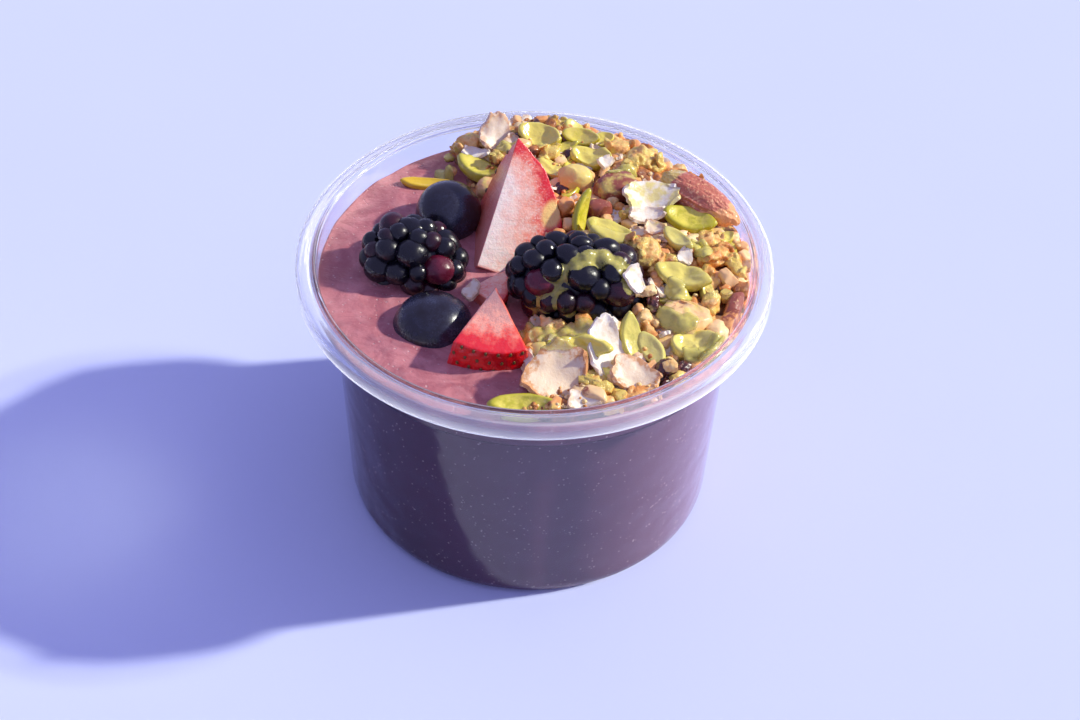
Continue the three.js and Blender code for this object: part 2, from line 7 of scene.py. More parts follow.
import itertools
import logging
import math
import random
from collections.abc import Callable, Iterator, Sequence
from contextlib import contextmanager
from dataclasses import dataclass
from enum import Enum
from functools import partial

import bpy
import numpy as np
from mathutils import Euler, Matrix, Vector
from mathutils.bvhtree import BVHTree

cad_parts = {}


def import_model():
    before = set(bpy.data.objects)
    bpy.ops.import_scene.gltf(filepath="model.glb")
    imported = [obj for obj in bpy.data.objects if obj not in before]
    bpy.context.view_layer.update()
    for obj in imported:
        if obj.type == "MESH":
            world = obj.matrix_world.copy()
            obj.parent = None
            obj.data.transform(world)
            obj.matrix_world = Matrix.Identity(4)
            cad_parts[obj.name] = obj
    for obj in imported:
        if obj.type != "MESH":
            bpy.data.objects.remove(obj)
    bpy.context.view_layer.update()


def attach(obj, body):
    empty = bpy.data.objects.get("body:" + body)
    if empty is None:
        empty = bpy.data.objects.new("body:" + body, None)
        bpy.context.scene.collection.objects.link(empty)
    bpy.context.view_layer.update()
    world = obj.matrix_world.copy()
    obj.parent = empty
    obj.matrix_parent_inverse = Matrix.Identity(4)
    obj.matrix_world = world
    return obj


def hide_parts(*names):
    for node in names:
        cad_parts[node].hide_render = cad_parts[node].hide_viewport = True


MM = 0.001
TURN = 2 * math.pi
GOLDEN_TURN = 2.399963  # radians between neighbours of an even spread over a ball
TOUCHING = 1e-6  # metres within which points count as one
CRISP = 50  # degrees from which the edges of broken pieces stay sharp
FINE = 0.28  # millimetres between the points of a baked cluster
BODY = "root"
LOG = logging.getLogger("acai_bowl")

Triple = tuple[float, float, float]
Colour = Triple
Drupelet = tuple[float, float, float, float, float, float]
Points = np.ndarray
Piece = bpy.types.Object
Socket = bpy.types.NodeSocket


def srgb(red: int, green: int, blue: int) -> Colour:
    """Turns a screen's red, green and blue of 0 to 255 into linear light."""
    parts = [part / 255 for part in (red, green, blue)]
    return tuple(p / 12.92 if p <= 0.04045 else ((p + 0.055) / 1.055) ** 2.4 for p in parts)


def smoothstep(value: Points | float, low: float, high: float) -> Points:
    """Rises smoothly from 0 at low to 1 at high."""
    share = np.clip((np.asarray(value, float) - low) / (high - low), 0, 1)
    return share * share * (3 - 2 * share)


def lattice_noise(points: Points, size: float, seed: int) -> Points:
    """Smooth noise in space, drawn on a cubic lattice.

    Args:
        points: one row of x, y, z for each place.
        size: the lattice's spacing, in the points' unit.
        seed: which noise.

    Returns:
        One value from -1 to 1 for each place.
    """
    scaled = np.asarray(points, float) / size
    cell = np.floor(scaled).astype(np.int64)
    share = scaled - cell
    share = share * share * (3 - 2 * share)
    total = np.zeros(len(scaled))
    for corner in itertools.product((0, 1), repeat=3):
        at = cell + np.array(corner)
        mixed = at[:, 0] * 374761393 + at[:, 1] * 668265263 + at[:, 2] * 2147483647 + seed * 974634777
        mixed = (mixed ^ (mixed >> 13)) * 1274126177
        value = ((mixed ^ (mixed >> 16)) & 0xFFFF) / 0x7FFF - 1
        weight = np.prod(np.where(corner, share, 1 - share), axis=1)
        total += value * weight
    return total


def rough_noise(points: Points, size: float, seed: int, octaves: int = 3) -> Points:
    """Sums lattice noise at sizes that halve, each half as strong as the one before."""
    return sum(lattice_noise(points, size / 2**k, seed + k) / 2**k for k in range(octaves))


def in_plan(x: Points, y: Points) -> Points:
    """Gives rows of x, y and nought."""
    return np.column_stack([x, y, np.zeros(len(x))])


# ------------------------------------------------------------------ bench


class Bench:
    """Modelling by Blender's own operators, with the selection kept in order."""

    @staticmethod
    def clear() -> None:
        """Leaves edit mode and deselects everything."""
        if bpy.context.mode != "OBJECT":
            bpy.ops.object.mode_set(mode="OBJECT")
        bpy.ops.object.select_all(action="DESELECT")

    @staticmethod
    def hold(piece: Piece) -> None:
        """Makes one piece the only selected and active one.

        Args:
            piece: the piece.
        """
        Bench.clear()
        piece.select_set(True)
        bpy.context.view_layer.objects.active = piece

    @staticmethod
    @contextmanager
    def editing(piece: Piece) -> Iterator[None]:
        """Edit mode on one piece, with all of it selected.

        Args:
            piece: the piece.

        Yields:
            Nothing, while the piece is in edit mode.
        """
        Bench.hold(piece)
        bpy.ops.object.mode_set(mode="EDIT")
        bpy.ops.mesh.select_mode(type="VERT")
        bpy.ops.mesh.select_all(action="SELECT")
        yield
        bpy.ops.object.mode_set(mode="OBJECT")

    @staticmethod
    def pick(piece: Piece, chosen: Points) -> None:
        """Selects points in edit mode, and the faces whose points are all chosen.

        Args:
            piece: the piece in edit mode.
            chosen: true or false for each point.
        """
        bpy.ops.mesh.select_all(action="DESELECT")
        bpy.ops.object.mode_set(mode="OBJECT")
        piece.data.vertices.foreach_set("select", np.asarray(chosen, bool))
        bpy.ops.object.mode_set(mode="EDIT")

    @staticmethod
    def add(name: str, operator: Callable, **settings: object) -> Piece:
        """Adds a primitive with a name of its own.

        Args:
            name: the new object's name.
            operator: the operator that adds the primitive.
            settings: the operator's settings.

        Returns:
            The new object, the only one selected.
        """
        Bench.clear()
        operator(**settings)
        piece = bpy.context.object
        piece.name = name
        piece.data.name = name
        Bench.settle(piece)
        return piece

    @staticmethod
    def ball(name: str, segments: int, rings: int) -> Piece:
        """Adds a ball of radius 1 with two poles."""
        operator = bpy.ops.mesh.primitive_uv_sphere_add
        return Bench.add(name, operator, segments=segments, ring_count=rings, radius=1)

    @staticmethod
    def even_ball(name: str, detail: int) -> Piece:
        """Adds a ball of radius 1 with even faces."""
        return Bench.add(name, bpy.ops.mesh.primitive_ico_sphere_add, subdivisions=detail, radius=1)

    @staticmethod
    def grid(name: str, columns: int, rows: int, size: float = 1) -> Piece:
        """Adds a flat grid round the origin."""
        operator = bpy.ops.mesh.primitive_grid_add
        return Bench.add(name, operator, x_subdivisions=columns, y_subdivisions=rows, size=size)

    @staticmethod
    def settle(piece: Piece) -> None:
        """Puts a piece's place, turn and size into its mesh."""
        Bench.hold(piece)
        bpy.ops.object.transform_apply(location=True, rotation=True, scale=True)

    @staticmethod
    def finish(piece: Piece, kind: str, **settings: object) -> None:
        """Adds a modifier and applies it.

        Args:
            piece: the piece to change.
            kind: the modifier's type.
            settings: the modifier's settings.
        """
        Bench.hold(piece)
        modifier = piece.modifiers.new(kind.title(), kind)
        for key, value in settings.items():
            setattr(modifier, key, value)
        bpy.ops.object.modifier_apply(modifier=modifier.name)

    @staticmethod
    def remesh(piece: Piece, voxel: float, soften: int = 2) -> None:
        """Joins a piece's overlapping parts into one skin and softens it.

        Args:
            piece: the piece to change.
            voxel: the size of the new faces, in metres.
            soften: how many rounds of smoothing follow.
        """
        Bench.finish(piece, "REMESH", mode="VOXEL", voxel_size=voxel)
        if soften:
            Bench.finish(piece, "SMOOTH", factor=0.5, iterations=soften)

    @staticmethod
    def smooth(piece: Piece, degrees: float = 180) -> None:
        """Shades a piece smoothly, but for edges sharper than an angle.

        Args:
            piece: the piece.
            degrees: edges sharper than this stay sharp.
        """
        Bench.hold(piece)
        if degrees >= 180:
            bpy.ops.object.shade_smooth()
        else:
            bpy.ops.object.shade_smooth_by_angle(angle=math.radians(degrees))

    @staticmethod
    def points(piece: Piece) -> Points:
        """Gives the places of a piece's points.

        Args:
            piece: the piece.

        Returns:
            One row of x, y and z for each point, in metres.
        """
        places = np.empty(3 * len(piece.data.vertices))
        piece.data.vertices.foreach_get("co", places)
        return places.reshape(-1, 3)

    @staticmethod
    def live_points(piece: Piece) -> Points:
        """Gives the places of the points of a piece that is in edit mode."""
        piece.update_from_editmode()
        return Bench.points(piece)

    @staticmethod
    def normals(piece: Piece) -> Points:
        """Gives the normals of a piece's points.

        Args:
            piece: the piece.

        Returns:
            One row of x, y and z for each point.
        """
        normals = np.empty(3 * len(piece.data.vertices))
        piece.data.vertices.foreach_get("normal", normals)
        return normals.reshape(-1, 3)

    @staticmethod
    def reshape(piece: Piece, change: Callable[[Points], Points]) -> None:
        """Moves a piece's points by a function of their places."""
        piece.data.vertices.foreach_set("co", change(Bench.points(piece)).ravel())
        piece.data.update()

    @staticmethod
    def relief(piece: Piece, height: Callable[[Points], Points]) -> None:
        """Moves a piece's points along their normals by a function of their places.

        Args:
            piece: the piece.
            height: gives metres for rows of x, y and z.
        """
        places = Bench.points(piece)
        moved = places + Bench.normals(piece) * height(places)[:, None]
        piece.data.vertices.foreach_set("co", moved.ravel())
        piece.data.update()

    @staticmethod
    def mark(piece: Piece, **marks: Points | float) -> None:
        """Stores numbers for each point under names that materials can read.

        Args:
            piece: the piece to mark.
            marks: one number for all points or one for each, by name.
        """
        for name, values in marks.items():
            store = piece.data.attributes.get(name)
            store = store or piece.data.attributes.new(name, "FLOAT", "POINT")
            row = np.broadcast_to(values, len(piece.data.vertices))
            store.data.foreach_set("value", row.astype(np.float32))

    @staticmethod
    def mark_vector(piece: Piece, name: str, rows: Points) -> None:
        """Stores three numbers for each point under a name that materials can read."""
        store = piece.data.attributes.new(name, "FLOAT_VECTOR", "POINT")
        store.data.foreach_set("vector", np.asarray(rows, np.float32).ravel())

    @staticmethod
    def copy(piece: Piece, place: Matrix) -> Piece:
        """Copies a piece with a mesh of its own, moved by a matrix.

        Args:
            piece: the piece to copy.
            place: where the copy's mesh goes.

        Returns:
            The copy.
        """
        twin = piece.copy()
        twin.data = piece.data.copy()
        twin.data.transform(place)
        bpy.context.scene.collection.objects.link(twin)
        return twin

    @staticmethod
    def join(parts: Sequence[Piece], name: str) -> Piece:
        """Joins parts into one object.

        Args:
            parts: the parts, which end up in the first.
            name: the joined object's name.

        Returns:
            The joined object.
        """
        Bench.hold(parts[0])
        for part in parts:
            part.select_set(True)
        if len(parts) > 1:
            bpy.ops.object.join()
        joined = bpy.context.object
        joined.name = name
        joined.data.name = name
        return joined

    @staticmethod
    def discard(pieces: Sequence[Piece]) -> None:
        """Removes patterns that copies were made of."""
        for piece in pieces:
            bpy.data.objects.remove(piece)

    @staticmethod
    def chain(name: str, outline: Sequence[tuple[float, float]]) -> Piece:
        """Draws an outline of radius and height in the XZ plane, point by point.

        Args:
            name: the object's name.
            outline: radius and height of each point, in metres.

        Returns:
            An object that holds only the outline's edges.
        """
        piece = Bench.add(name, bpy.ops.mesh.primitive_plane_add, size=MM)
        with Bench.editing(piece):
            bpy.ops.mesh.merge(type="CENTER")
            bpy.ops.transform.translate(value=(outline[0][0], 0, outline[0][1]))
            for (r0, z0), (r1, z1) in itertools.pairwise(outline):
                step = {"value": (r1 - r0, 0, z1 - z0)}
                bpy.ops.mesh.extrude_region_move(TRANSFORM_OT_translate=step)
        return piece

    @staticmethod
    def turned(
        name: str, outline: Sequence[tuple[float, float]], steps: int, angle: float = TURN
    ) -> Piece:
        """Spins an outline round +Z.

        Args:
            name: the object's name.
            outline: radius and height of each point, in metres.
            steps: how many facets the turn has.
            angle: how far it turns.

        Returns:
            The turned piece, its two ends closed where it stops short of a whole turn.
        """
        piece = Bench.chain(name, outline)
        with Bench.editing(piece):
            bpy.ops.mesh.spin(steps=steps, angle=angle, center=(0, 0, 0), axis=(0, 0, -1))
            bpy.ops.mesh.select_all(action="SELECT")
            bpy.ops.mesh.remove_doubles(threshold=TOUCHING)
            if angle < TURN:
                x, y, _ = Bench.live_points(piece).T
                axis = np.hypot(x, y) < TOUCHING
                Bench.pick(piece, axis)
                bpy.ops.mesh.edge_face_add()
                for cut in (0, angle):
                    away = abs(x * math.sin(cut) - y * math.cos(cut))
                    ahead = x * math.cos(cut) + y * math.sin(cut) > 0
                    Bench.pick(piece, axis | ((away < TOUCHING) & ahead))
                    bpy.ops.mesh.edge_face_add()
                bpy.ops.mesh.select_all(action="SELECT")
            bpy.ops.mesh.normals_make_consistent(inside=False)
        return piece


def rounded(corners: Sequence[Triple], facets: int = 4) -> list[tuple[float, float]]:
    """Rounds the corners of an outline.

    Args:
        corners: radius, height and rounding of each corner, in millimetres.
        facets: how many steps a rounded corner takes.

    Returns:
        Radius and height of each point, in metres.
    """
    outline = []
    for k, (x, z, rounding) in enumerate(corners):
        here = Vector((x, z))
        if not rounding or k in (0, len(corners) - 1):
            outline.append(here)
            continue
        before = (Vector(corners[k - 1][:2]) - here).normalized()
        after = (Vector(corners[k + 1][:2]) - here).normalized()
        half = before.angle(after) / 2
        reach = rounding / math.tan(half)
        for step in range(facets + 1):
            share = step / facets
            start, end = here + before * reach, here + after * reach
            bend = start.lerp(here, share).lerp(here.lerp(end, share), share)
            outline.append(bend)
    return [(x * MM, z * MM) for x, z in outline]


def placement(centre: Sequence[float], yaw: float = 0, pitch: float = 0, roll: float = 0) -> Matrix:
    """Gives the matrix of a place in millimetres and of turns in degrees."""
    turn = Euler((math.radians(roll), math.radians(pitch), math.radians(yaw)), "XYZ")
    return Matrix.Translation(Vector(centre) * MM) @ turn.to_matrix().to_4x4()


def scaled(size: Sequence[float]) -> Matrix:
    """Gives the matrix that stretches a unit pattern to a size in millimetres."""
    return Matrix.Diagonal((*(Vector(size) * MM), 1))


# ------------------------------------------------------------------ finishes


class Shader:
    """A material's nodes while they are joined."""

    def __init__(self, name: str) -> None:
        """Starts a material.

        Args:
            name: the material's name.
        """
        self.material = bpy.data.materials.new(name)
        self.material.use_nodes = True
        self.tree = self.material.node_tree
        self.surface = self.tree.nodes["Principled BSDF"]
        self.place = self.node("ShaderNodeTexCoord").outputs["Object"]

    def feed(self, socket: Socket, value: object) -> None:
        """Links a socket, or sets it where the value is a number or a colour.

        Args:
            socket: what is fed.
            value: a link, a number or a colour.
        """
        if isinstance(value, Socket):
            self.tree.links.new(value, socket)
        elif socket.type == "RGBA":
            socket.default_value = (*value[:3], 1)
        else:
            socket.default_value = value

    def node(self, kind: str, inputs: dict | None = None, **settings: object) -> bpy.types.Node:
        """Adds a node.

        Args:
            kind: the node's type.
            inputs: values or links for its sockets, by name or number.
            settings: the node's own settings.

        Returns:
            The node.
        """
        made = self.tree.nodes.new(kind)
        for key, value in settings.items():
            setattr(made, key, value)
        for key, value in (inputs or {}).items():
            self.feed(made.inputs[key], value)
        return made

    def stretched(self, stretch: Sequence[float]) -> Socket:
        """Gives the object's coordinates stretched by three factors."""
        made = self.node("ShaderNodeMapping", {"Vector": self.place, "Scale": tuple(stretch)})
        return made.outputs[0]

    def noise(
        self, size: float, detail: float = 3, roughness: float = 0.55,
        place: Socket | None = None, distortion: float = 0,
    ) -> Socket:
        """Gives noise from 0 to 1.

        Args:
            size: the size of its largest features, in millimetres.
            detail: how many finer layers it has.
            roughness: how strong those are.
            place: coordinates other than the object's own.
            distortion: how much it is stirred.

        Returns:
            The noise's value.
        """
        return self.node("ShaderNodeTexNoise", {
            "Vector": place or self.place, "Scale": 1 / (size * MM), "Detail": detail,
            "Roughness": roughness, "Distortion": distortion}).outputs["Fac"]

    def cells(self, size: float) -> Socket:
        """Gives the distance to the nearest of scattered points a size in millimetres apart."""
        made = self.node("ShaderNodeTexVoronoi", {"Vector": self.place, "Scale": 1 / (size * MM)})
        return made.outputs["Distance"]

    def step(self, value: Socket, low: float, high: float, start: float = 0, end: float = 1) -> Socket:
        """Gives a smooth step of a value.

        Args:
            value: what is stepped.
            low: where the step starts.
            high: where it ends.
            start: the result below the step.
            end: the result above it.

        Returns:
            The stepped value.
        """
        return self.node("ShaderNodeMapRange", {
            "Value": value, "From Min": low, "From Max": high, "To Min": start, "To Max": end,
        }, interpolation_type="SMOOTHSTEP").outputs["Result"]

    def sum(self, operation: str, first: object, second: object) -> Socket:
        """Works out one step of arithmetic, held between 0 and 1."""
        made = self.node("ShaderNodeMath", {0: first, 1: second}, operation=operation, use_clamp=True)
        return made.outputs[0]

    def times(self, first: object, second: object) -> Socket:
        """Multiplies two values."""
        return self.sum("MULTIPLY", first, second)

    def plus(self, first: object, second: object) -> Socket:
        """Adds two values."""
        return self.sum("ADD", first, second)

    def minus(self, first: object, second: object) -> Socket:
        """Takes the second value from the first."""
        return self.sum("SUBTRACT", first, second)

    def mix(self, share: object, first: object, second: object) -> Socket:
        """Mixes two colours by the share of the second."""
        made = self.node("ShaderNodeMix", {0: share, 6: first, 7: second}, data_type="RGBA")
        return made.outputs[2]

    def ramp(self, value: object, stops: Sequence[tuple[float, Colour]]) -> Socket:
        """Turns a value into a colour by a row of stops.

        Args:
            value: what is turned, from 0 to 1.
            stops: the position and colour of each stop.

        Returns:
            The colour.
        """
        made = self.node("ShaderNodeValToRGB", {"Fac": value})
        elements = made.color_ramp.elements
        while len(elements) < len(stops):
            elements.new(0.5)
        for element, (position, colour) in zip(elements, stops):
            element.position = position
            element.color = (*colour, 1)
        return made.outputs["Color"]

    def marked(self, name: str) -> Socket:
        """Reads a number that the mesh carries at its points."""
        return self.node("ShaderNodeAttribute", attribute_name=name).outputs["Fac"]

    def marked_vector(self, name: str) -> Socket:
        """Reads three numbers that the mesh carries at its points."""
        return self.node("ShaderNodeAttribute", attribute_name=name).outputs["Vector"]

    def upward(self) -> Socket:
        """Gives how far the surface faces up, from -1 to 1."""
        normal = self.node("ShaderNodeNewGeometry").outputs["Normal"]
        return self.node("ShaderNodeSeparateXYZ", {0: normal}).outputs["Z"]

    def bump(self, height: Socket, depth: float, under: Socket | None = None) -> Socket:
        """Gives the normal of a fine relief.

        Args:
            height: the relief, from 0 to 1.
            depth: how deep it is, in millimetres.
            under: a relief that this one lies on.

        Returns:
            The normal.
        """
        made = self.node(
            "ShaderNodeBump", {"Height": height, "Distance": depth * MM, "Strength": 1.0})
        if under is not None:
            self.feed(made.inputs["Normal"], under)
        return made.outputs["Normal"]

    def dress(self, **sockets: object) -> None:
        """Sets the surface's sockets, whose names are written with underscores."""
        for key, value in sockets.items():
            self.feed(self.surface.inputs[key.replace("_", " ")], value)

    def soften(self, share: float, reach: Colour, depth: float) -> None:
        """Lets light in: how much, how far each colour goes, and how deep in millimetres."""
        self.dress(Subsurface_Weight=share, Subsurface_Radius=reach, Subsurface_Scale=depth * MM)


@dataclass(frozen=True)
class Finish:
    """A surface's look. Each kind says how its nodes are joined."""

    name: str

    def material(self) -> bpy.types.Material:
        """Makes the material, once.

        Returns:
            The material.
        """
        found = bpy.data.materials.get(self.name)
        if found:
            return found
        shader = Shader(self.name)
        self.join(shader)
        return shader.material

    def join(self, shader: Shader) -> None:
        """Joins the finish's nodes."""
        raise NotImplementedError

    def on(self, piece: Piece, degrees: float = 180) -> Piece:
        """Shades a piece smoothly and gives it this finish all over.

        Args:
            piece: the piece.
            degrees: edges sharper than this stay sharp.

        Returns:
            The same piece.
        """
        Bench.smooth(piece, degrees)
        piece.data.materials.clear()
        piece.data.materials.append(self.material())
        return piece


@dataclass(frozen=True)
class ClearPlastic(Finish):
    """Thin clear plastic, a little cool, with faint drawing marks and painted highlights along its rim.
    """

    tint: Colour = (0.95, 0.96, 1.0)
    worn: float = 0.97
    roughness: float = 0.035
    index: float = 1.46
    shade: float = 0.1
    milky: float = 0.25

    def join(self, shader: Shader) -> None:
        """Joins the nodes: light that casts shadows passes through, apart from a share.

        Args:
            shader: the material's nodes.
        """
        marks = shader.noise(5, 2, place=shader.stretched((1, 1, 0.15)))
        shadow = shader.node("ShaderNodeLightPath").outputs["Is Shadow Ray"]
        waves = shader.times(shader.noise(8, 1), shader.marked("wavy"))
        shader.dress(
            Base_Color=shader.mix(marks, self.tint, tuple(part * self.worn for part in self.tint)),
            Roughness=shader.step(marks, 0.2, 0.8, self.roughness, 2 * self.roughness),
            Alpha=shader.step(shadow, 0, 1, 1, self.shade),
            IOR=self.index,
            # Painted highlight: where the mesh is marked, less light passes and the plastic shows milky
            # white.
            Transmission_Weight=shader.step(shader.marked("milk"), 0, 1, 1, self.milky),
            Normal=shader.bump(marks, 0.015, shader.bump(waves, 0.45)))


@dataclass(frozen=True)
class AcaiPuree(Finish):
    """Thick frozen puree: satin, stirred in soft streaks, with small air bubbles, and painted light on
    its side behind the tub.
    """

    dark: Colour = srgb(170, 100, 108)
    pale: Colour = srgb(202, 132, 136)
    bubble: Colour = srgb(244, 214, 214)
    pressed: Colour = srgb(88, 40, 44)
    filmed: Colour = srgb(168, 134, 176)
    pit_share: float = 0.42

    def join(self, shader: Shader) -> None:
        """Joins the nodes; the mesh carries where the puree is pressed to the tub and where light is
        painted on it.

        Args:
            shader: the material's nodes.
        """
        wet = shader.marked("wet")
        streaks = shader.noise(9, 5, 0.62, distortion=1.6)
        clouds = shader.noise(2.6, 3, 0.6)
        bubbles = shader.step(shader.cells(0.95), 0.15, 0.3, 1, 0)
        some = shader.step(shader.noise(1.6, 2), 0.52, 0.62)
        pits = shader.times(bubbles, some)
        stirred = shader.mix(shader.step(streaks, 0.35, 0.66), self.dark, self.pale)
        mottled = shader.mix(shader.step(clouds, 0.45, 0.75, 0, 0.1), stirred, self.bubble)
        flecks = shader.step(shader.noise(0.75, 3, 0.7), 0.3, 0.7, 0.1, -0.06)
        uneven_tone = shader.mix(flecks, mottled, self.dark)
        # Painted light and reflection: the side behind the tub turns pale lavender where the mesh is
        # marked.
        behind = shader.mix(shader.marked("film"), self.pressed, self.filmed)
        body = shader.mix(wet, uneven_tone, behind)
        bare = shader.minus(1.0, wet)
        fine = shader.times(shader.noise(0.5, 3, 0.6), bare)
        uneven = shader.bump(shader.times(shader.noise(11, 2), wet), 0.3)
        relief = shader.bump(fine, 0.06, shader.bump(shader.times(clouds, bare), 0.3, uneven))
        shader.dress(
            Base_Color=shader.mix(shader.times(pits, self.pit_share), body, self.bubble),
            Roughness=shader.mix(wet, (0.4,) * 3, (0.06,) * 3),
            Normal=shader.bump(shader.times(pits, bare), -0.14, relief),
            Coat_Weight=shader.times(wet, 0.2), Coat_Roughness=0.03, Specular_IOR_Level=0.32)
        shader.soften(0.12, (1.0, 0.45, 0.5), 1.2)


@dataclass(frozen=True)
class WaxyBerry(Finish):
    """A blueberry's dark skin with patches of pale bloom."""

    skin: Colour = srgb(22, 15, 24)
    bloom: Colour = srgb(64, 70, 98)
    cover: float = 0.5

    def join(self, shader: Shader) -> None:
        """Joins the nodes.

        Args:
            shader: the material's nodes.
        """
        patches = shader.noise(7, 4, 0.6)
        dust = shader.noise(0.35, 3, 0.7)
        worn = shader.step(patches, 0.5 - 0.3 * self.cover, 0.98 - 0.3 * self.cover)
        bloom = shader.times(worn, shader.step(dust, 0.3, 0.75, 0.35, 1))
        shader.dress(
            Base_Color=shader.mix(bloom, self.skin, self.bloom),
            Roughness=shader.step(bloom, 0, 1, 0.2, 0.42),
            Normal=shader.bump(dust, 0.02), Coat_Weight=0.15, Coat_Roughness=0.2)


@dataclass(frozen=True)
class DrupeletSkin(Finish):
    """Glossy drupelets, near black, of which some are wine red."""

    ripe: Colour = srgb(14, 12, 24)
    wine: Colour = srgb(96, 22, 44)

    def join(self, shader: Shader) -> None:
        """Joins the nodes; the mesh carries how red each drupelet is.

        Args:
            shader: the material's nodes.
        """
        cloud = shader.noise(2.5, 3)
        red = shader.times(shader.marked("wine"), shader.step(cloud, 0.2, 0.6, 0.6, 1))
        shader.dress(
            Base_Color=shader.mix(red, self.ripe, self.wine),
            Roughness=shader.step(cloud, 0.3, 0.7, 0.2, 0.38),
            Normal=shader.bump(shader.noise(0.7, 3), 0.07))
        shader.soften(0.08, (0.9, 0.2, 0.3), 1.0)


@dataclass(frozen=True)
class StrawberryFlesh(Finish):
    """Red skin outside, and cut flesh that pales from the skin to the core, with painted shade on the
    cuts that lie in shade.
    """

    skin: Colour = srgb(226, 4, 16)
    rim: Colour = srgb(226, 36, 48)
    flushed: Colour = srgb(240, 104, 88)
    flesh: Colour = srgb(252, 176, 152)
    core: Colour = srgb(255, 230, 218)
    aged: Colour = srgb(232, 88, 58)
    unripe: Colour = srgb(255, 206, 128)

    def join(self, shader: Shader) -> None:
        """Joins the nodes; the mesh carries how deep each point lies under the skin and where shade is
        painted.

        Args:
            shader: the material's nodes.
        """
        depth = shader.marked("depth")
        fibres = shader.noise(0.8, 3, 0.6, place=shader.marked_vector("grain"))
        blotches = shader.noise(2.2, 4, 0.6)
        veined = shader.plus(depth, shader.step(fibres, 0.3, 0.7, -0.03, 0.04))
        uneven = shader.plus(veined, shader.step(blotches, 0.3, 0.7, -0.12, 0.1))
        cut = shader.ramp(uneven, [
            (0.0, self.rim), (0.12, self.rim), (0.25, self.flushed), (0.44, self.flesh),
            (0.8, self.core)])
        speckles = shader.step(shader.noise(0.42, 2, 0.7), 0.52, 0.64)
        speckled = shader.times(speckles, shader.step(depth, 0.1, 0.4, 0.1, 0.5))
        fleshy = shader.mix(speckled, cut, self.core)
        # Painted shade: a darker salmon red on the second cut face and the stem-end cut.
        turned = shader.mix(shader.times(shader.marked("aged"), 0.66), fleshy, self.aged)
        outside = shader.marked("outside")
        raw = shader.mix(shader.marked("unripe"), turned, self.unripe)
        colour = shader.mix(outside, raw, self.skin)
        relief = shader.bump(fibres, 0.1, shader.bump(shader.noise(0.45, 3), 0.1))
        shader.dress(
            Base_Color=colour, Normal=relief,
            Roughness=shader.step(outside, 0, 1, 0.34, 0.2),
            Coat_Weight=0.3, Coat_Roughness=0.16)
        shader.soften(0.3, (1.0, 0.35, 0.25), 1.4)


@dataclass(frozen=True)
class Glazed(Finish):
    """A finish that nut butter can run over; the mesh carries how much of it there is."""

    glaze: Colour = srgb(230, 212, 108)

    def glazed(self, shader: Shader, colour: object, rough: float) -> tuple[object, object]:
        """Lays nut butter over a colour.

        Args:
            shader: the material's nodes.
            colour: what is seen where there is none.
            rough: how rough that is.

        Returns:
            The colour and the roughness.
        """
        patchy = shader.minus(shader.plus(shader.marked("glaze"), shader.noise(2.6, 3)), 0.76)
        above = shader.times(patchy, shader.step(shader.upward(), -0.5, 0.3))
        over = shader.step(above, 0.05, 0.3)
        wet = shader.mix(shader.times(over, 0.85), colour, self.glaze)
        return wet, shader.step(over, 0, 1, rough, 0.16)


@dataclass(frozen=True)
class ToastedGrain(Glazed):
    """Baked clusters and crumbs, from cream through orange to brown by their tone, with painted shade in
    their crevices.
    """

    cream: Colour = srgb(250, 222, 166)
    beige: Colour = srgb(240, 192, 118)
    amber: Colour = srgb(222, 144, 66)
    brown: Colour = srgb(150, 88, 50)
    burnt_and_shade: Colour = srgb(64, 34, 26)

    def join(self, shader: Shader) -> None:
        """Joins the nodes.

        Args:
            shader: the material's nodes.
        """
        cloud = shader.noise(1.8, 4, 0.65)
        tone = shader.plus(shader.marked("tone"), shader.step(cloud, 0.25, 0.75, -0.16, 0.2))
        baked = shader.ramp(tone, [
            (0.0, self.cream), (0.3, self.beige), (0.55, self.amber), (0.8, self.brown),
            (1.0, self.burnt_and_shade)])
        # Painted shade: where the surface bends inwards, the colour turns towards burnt brown.
        point = shader.node("ShaderNodeNewGeometry").outputs["Pointiness"]
        painted_crevice_shade = shader.mix(shader.step(point, 0.4, 0.5, 0.55, 0), baked, self.burnt_and_shade)
        colour, rough = self.glazed(shader, painted_crevice_shade, 0.5)
        grain = shader.bump(shader.noise(0.5, 3, 0.7), 0.24)
        shader.dress(
            Base_Color=colour, Roughness=rough, Normal=grain, Coat_Weight=0.2, Coat_Roughness=0.18)
        shader.soften(0.1, (1.0, 0.5, 0.3), 0.8)


@dataclass(frozen=True)
class SeedSkin(Glazed):
    """A hulled pumpkin seed: lime along its edge, paler on its faces."""

    edge: Colour = srgb(188, 180, 26)
    face: Colour = srgb(228, 212, 82)
    pale: Colour = srgb(234, 222, 144)

    def join(self, shader: Shader) -> None:
        """Joins the nodes; the mesh carries how near the edge a point lies.

        Args:
            shader: the material's nodes.
        """
        streaks = shader.noise(1.6, 4, 0.6)
        edged = shader.step(shader.marked("edge"), 0.55, 0.95)
        streaked = shader.mix(shader.step(streaks, 0.4, 0.7), self.face, self.edge)
        base = shader.mix(edged, streaked, self.edge)
        worn = shader.step(shader.noise(0.9, 3), 0.6, 0.72, 0, 0.5)
        tinted = shader.mix(shader.marked("tone"), shader.mix(worn, base, self.pale), self.pale)
        colour, rough = self.glazed(shader, tinted, 0.3)
        shader.dress(
            Base_Color=colour, Roughness=rough, Normal=shader.bump(streaks, 0.16),
            Coat_Weight=0.6, Coat_Roughness=0.08)
        shader.soften(0.1, (0.7, 0.8, 0.2), 0.8)


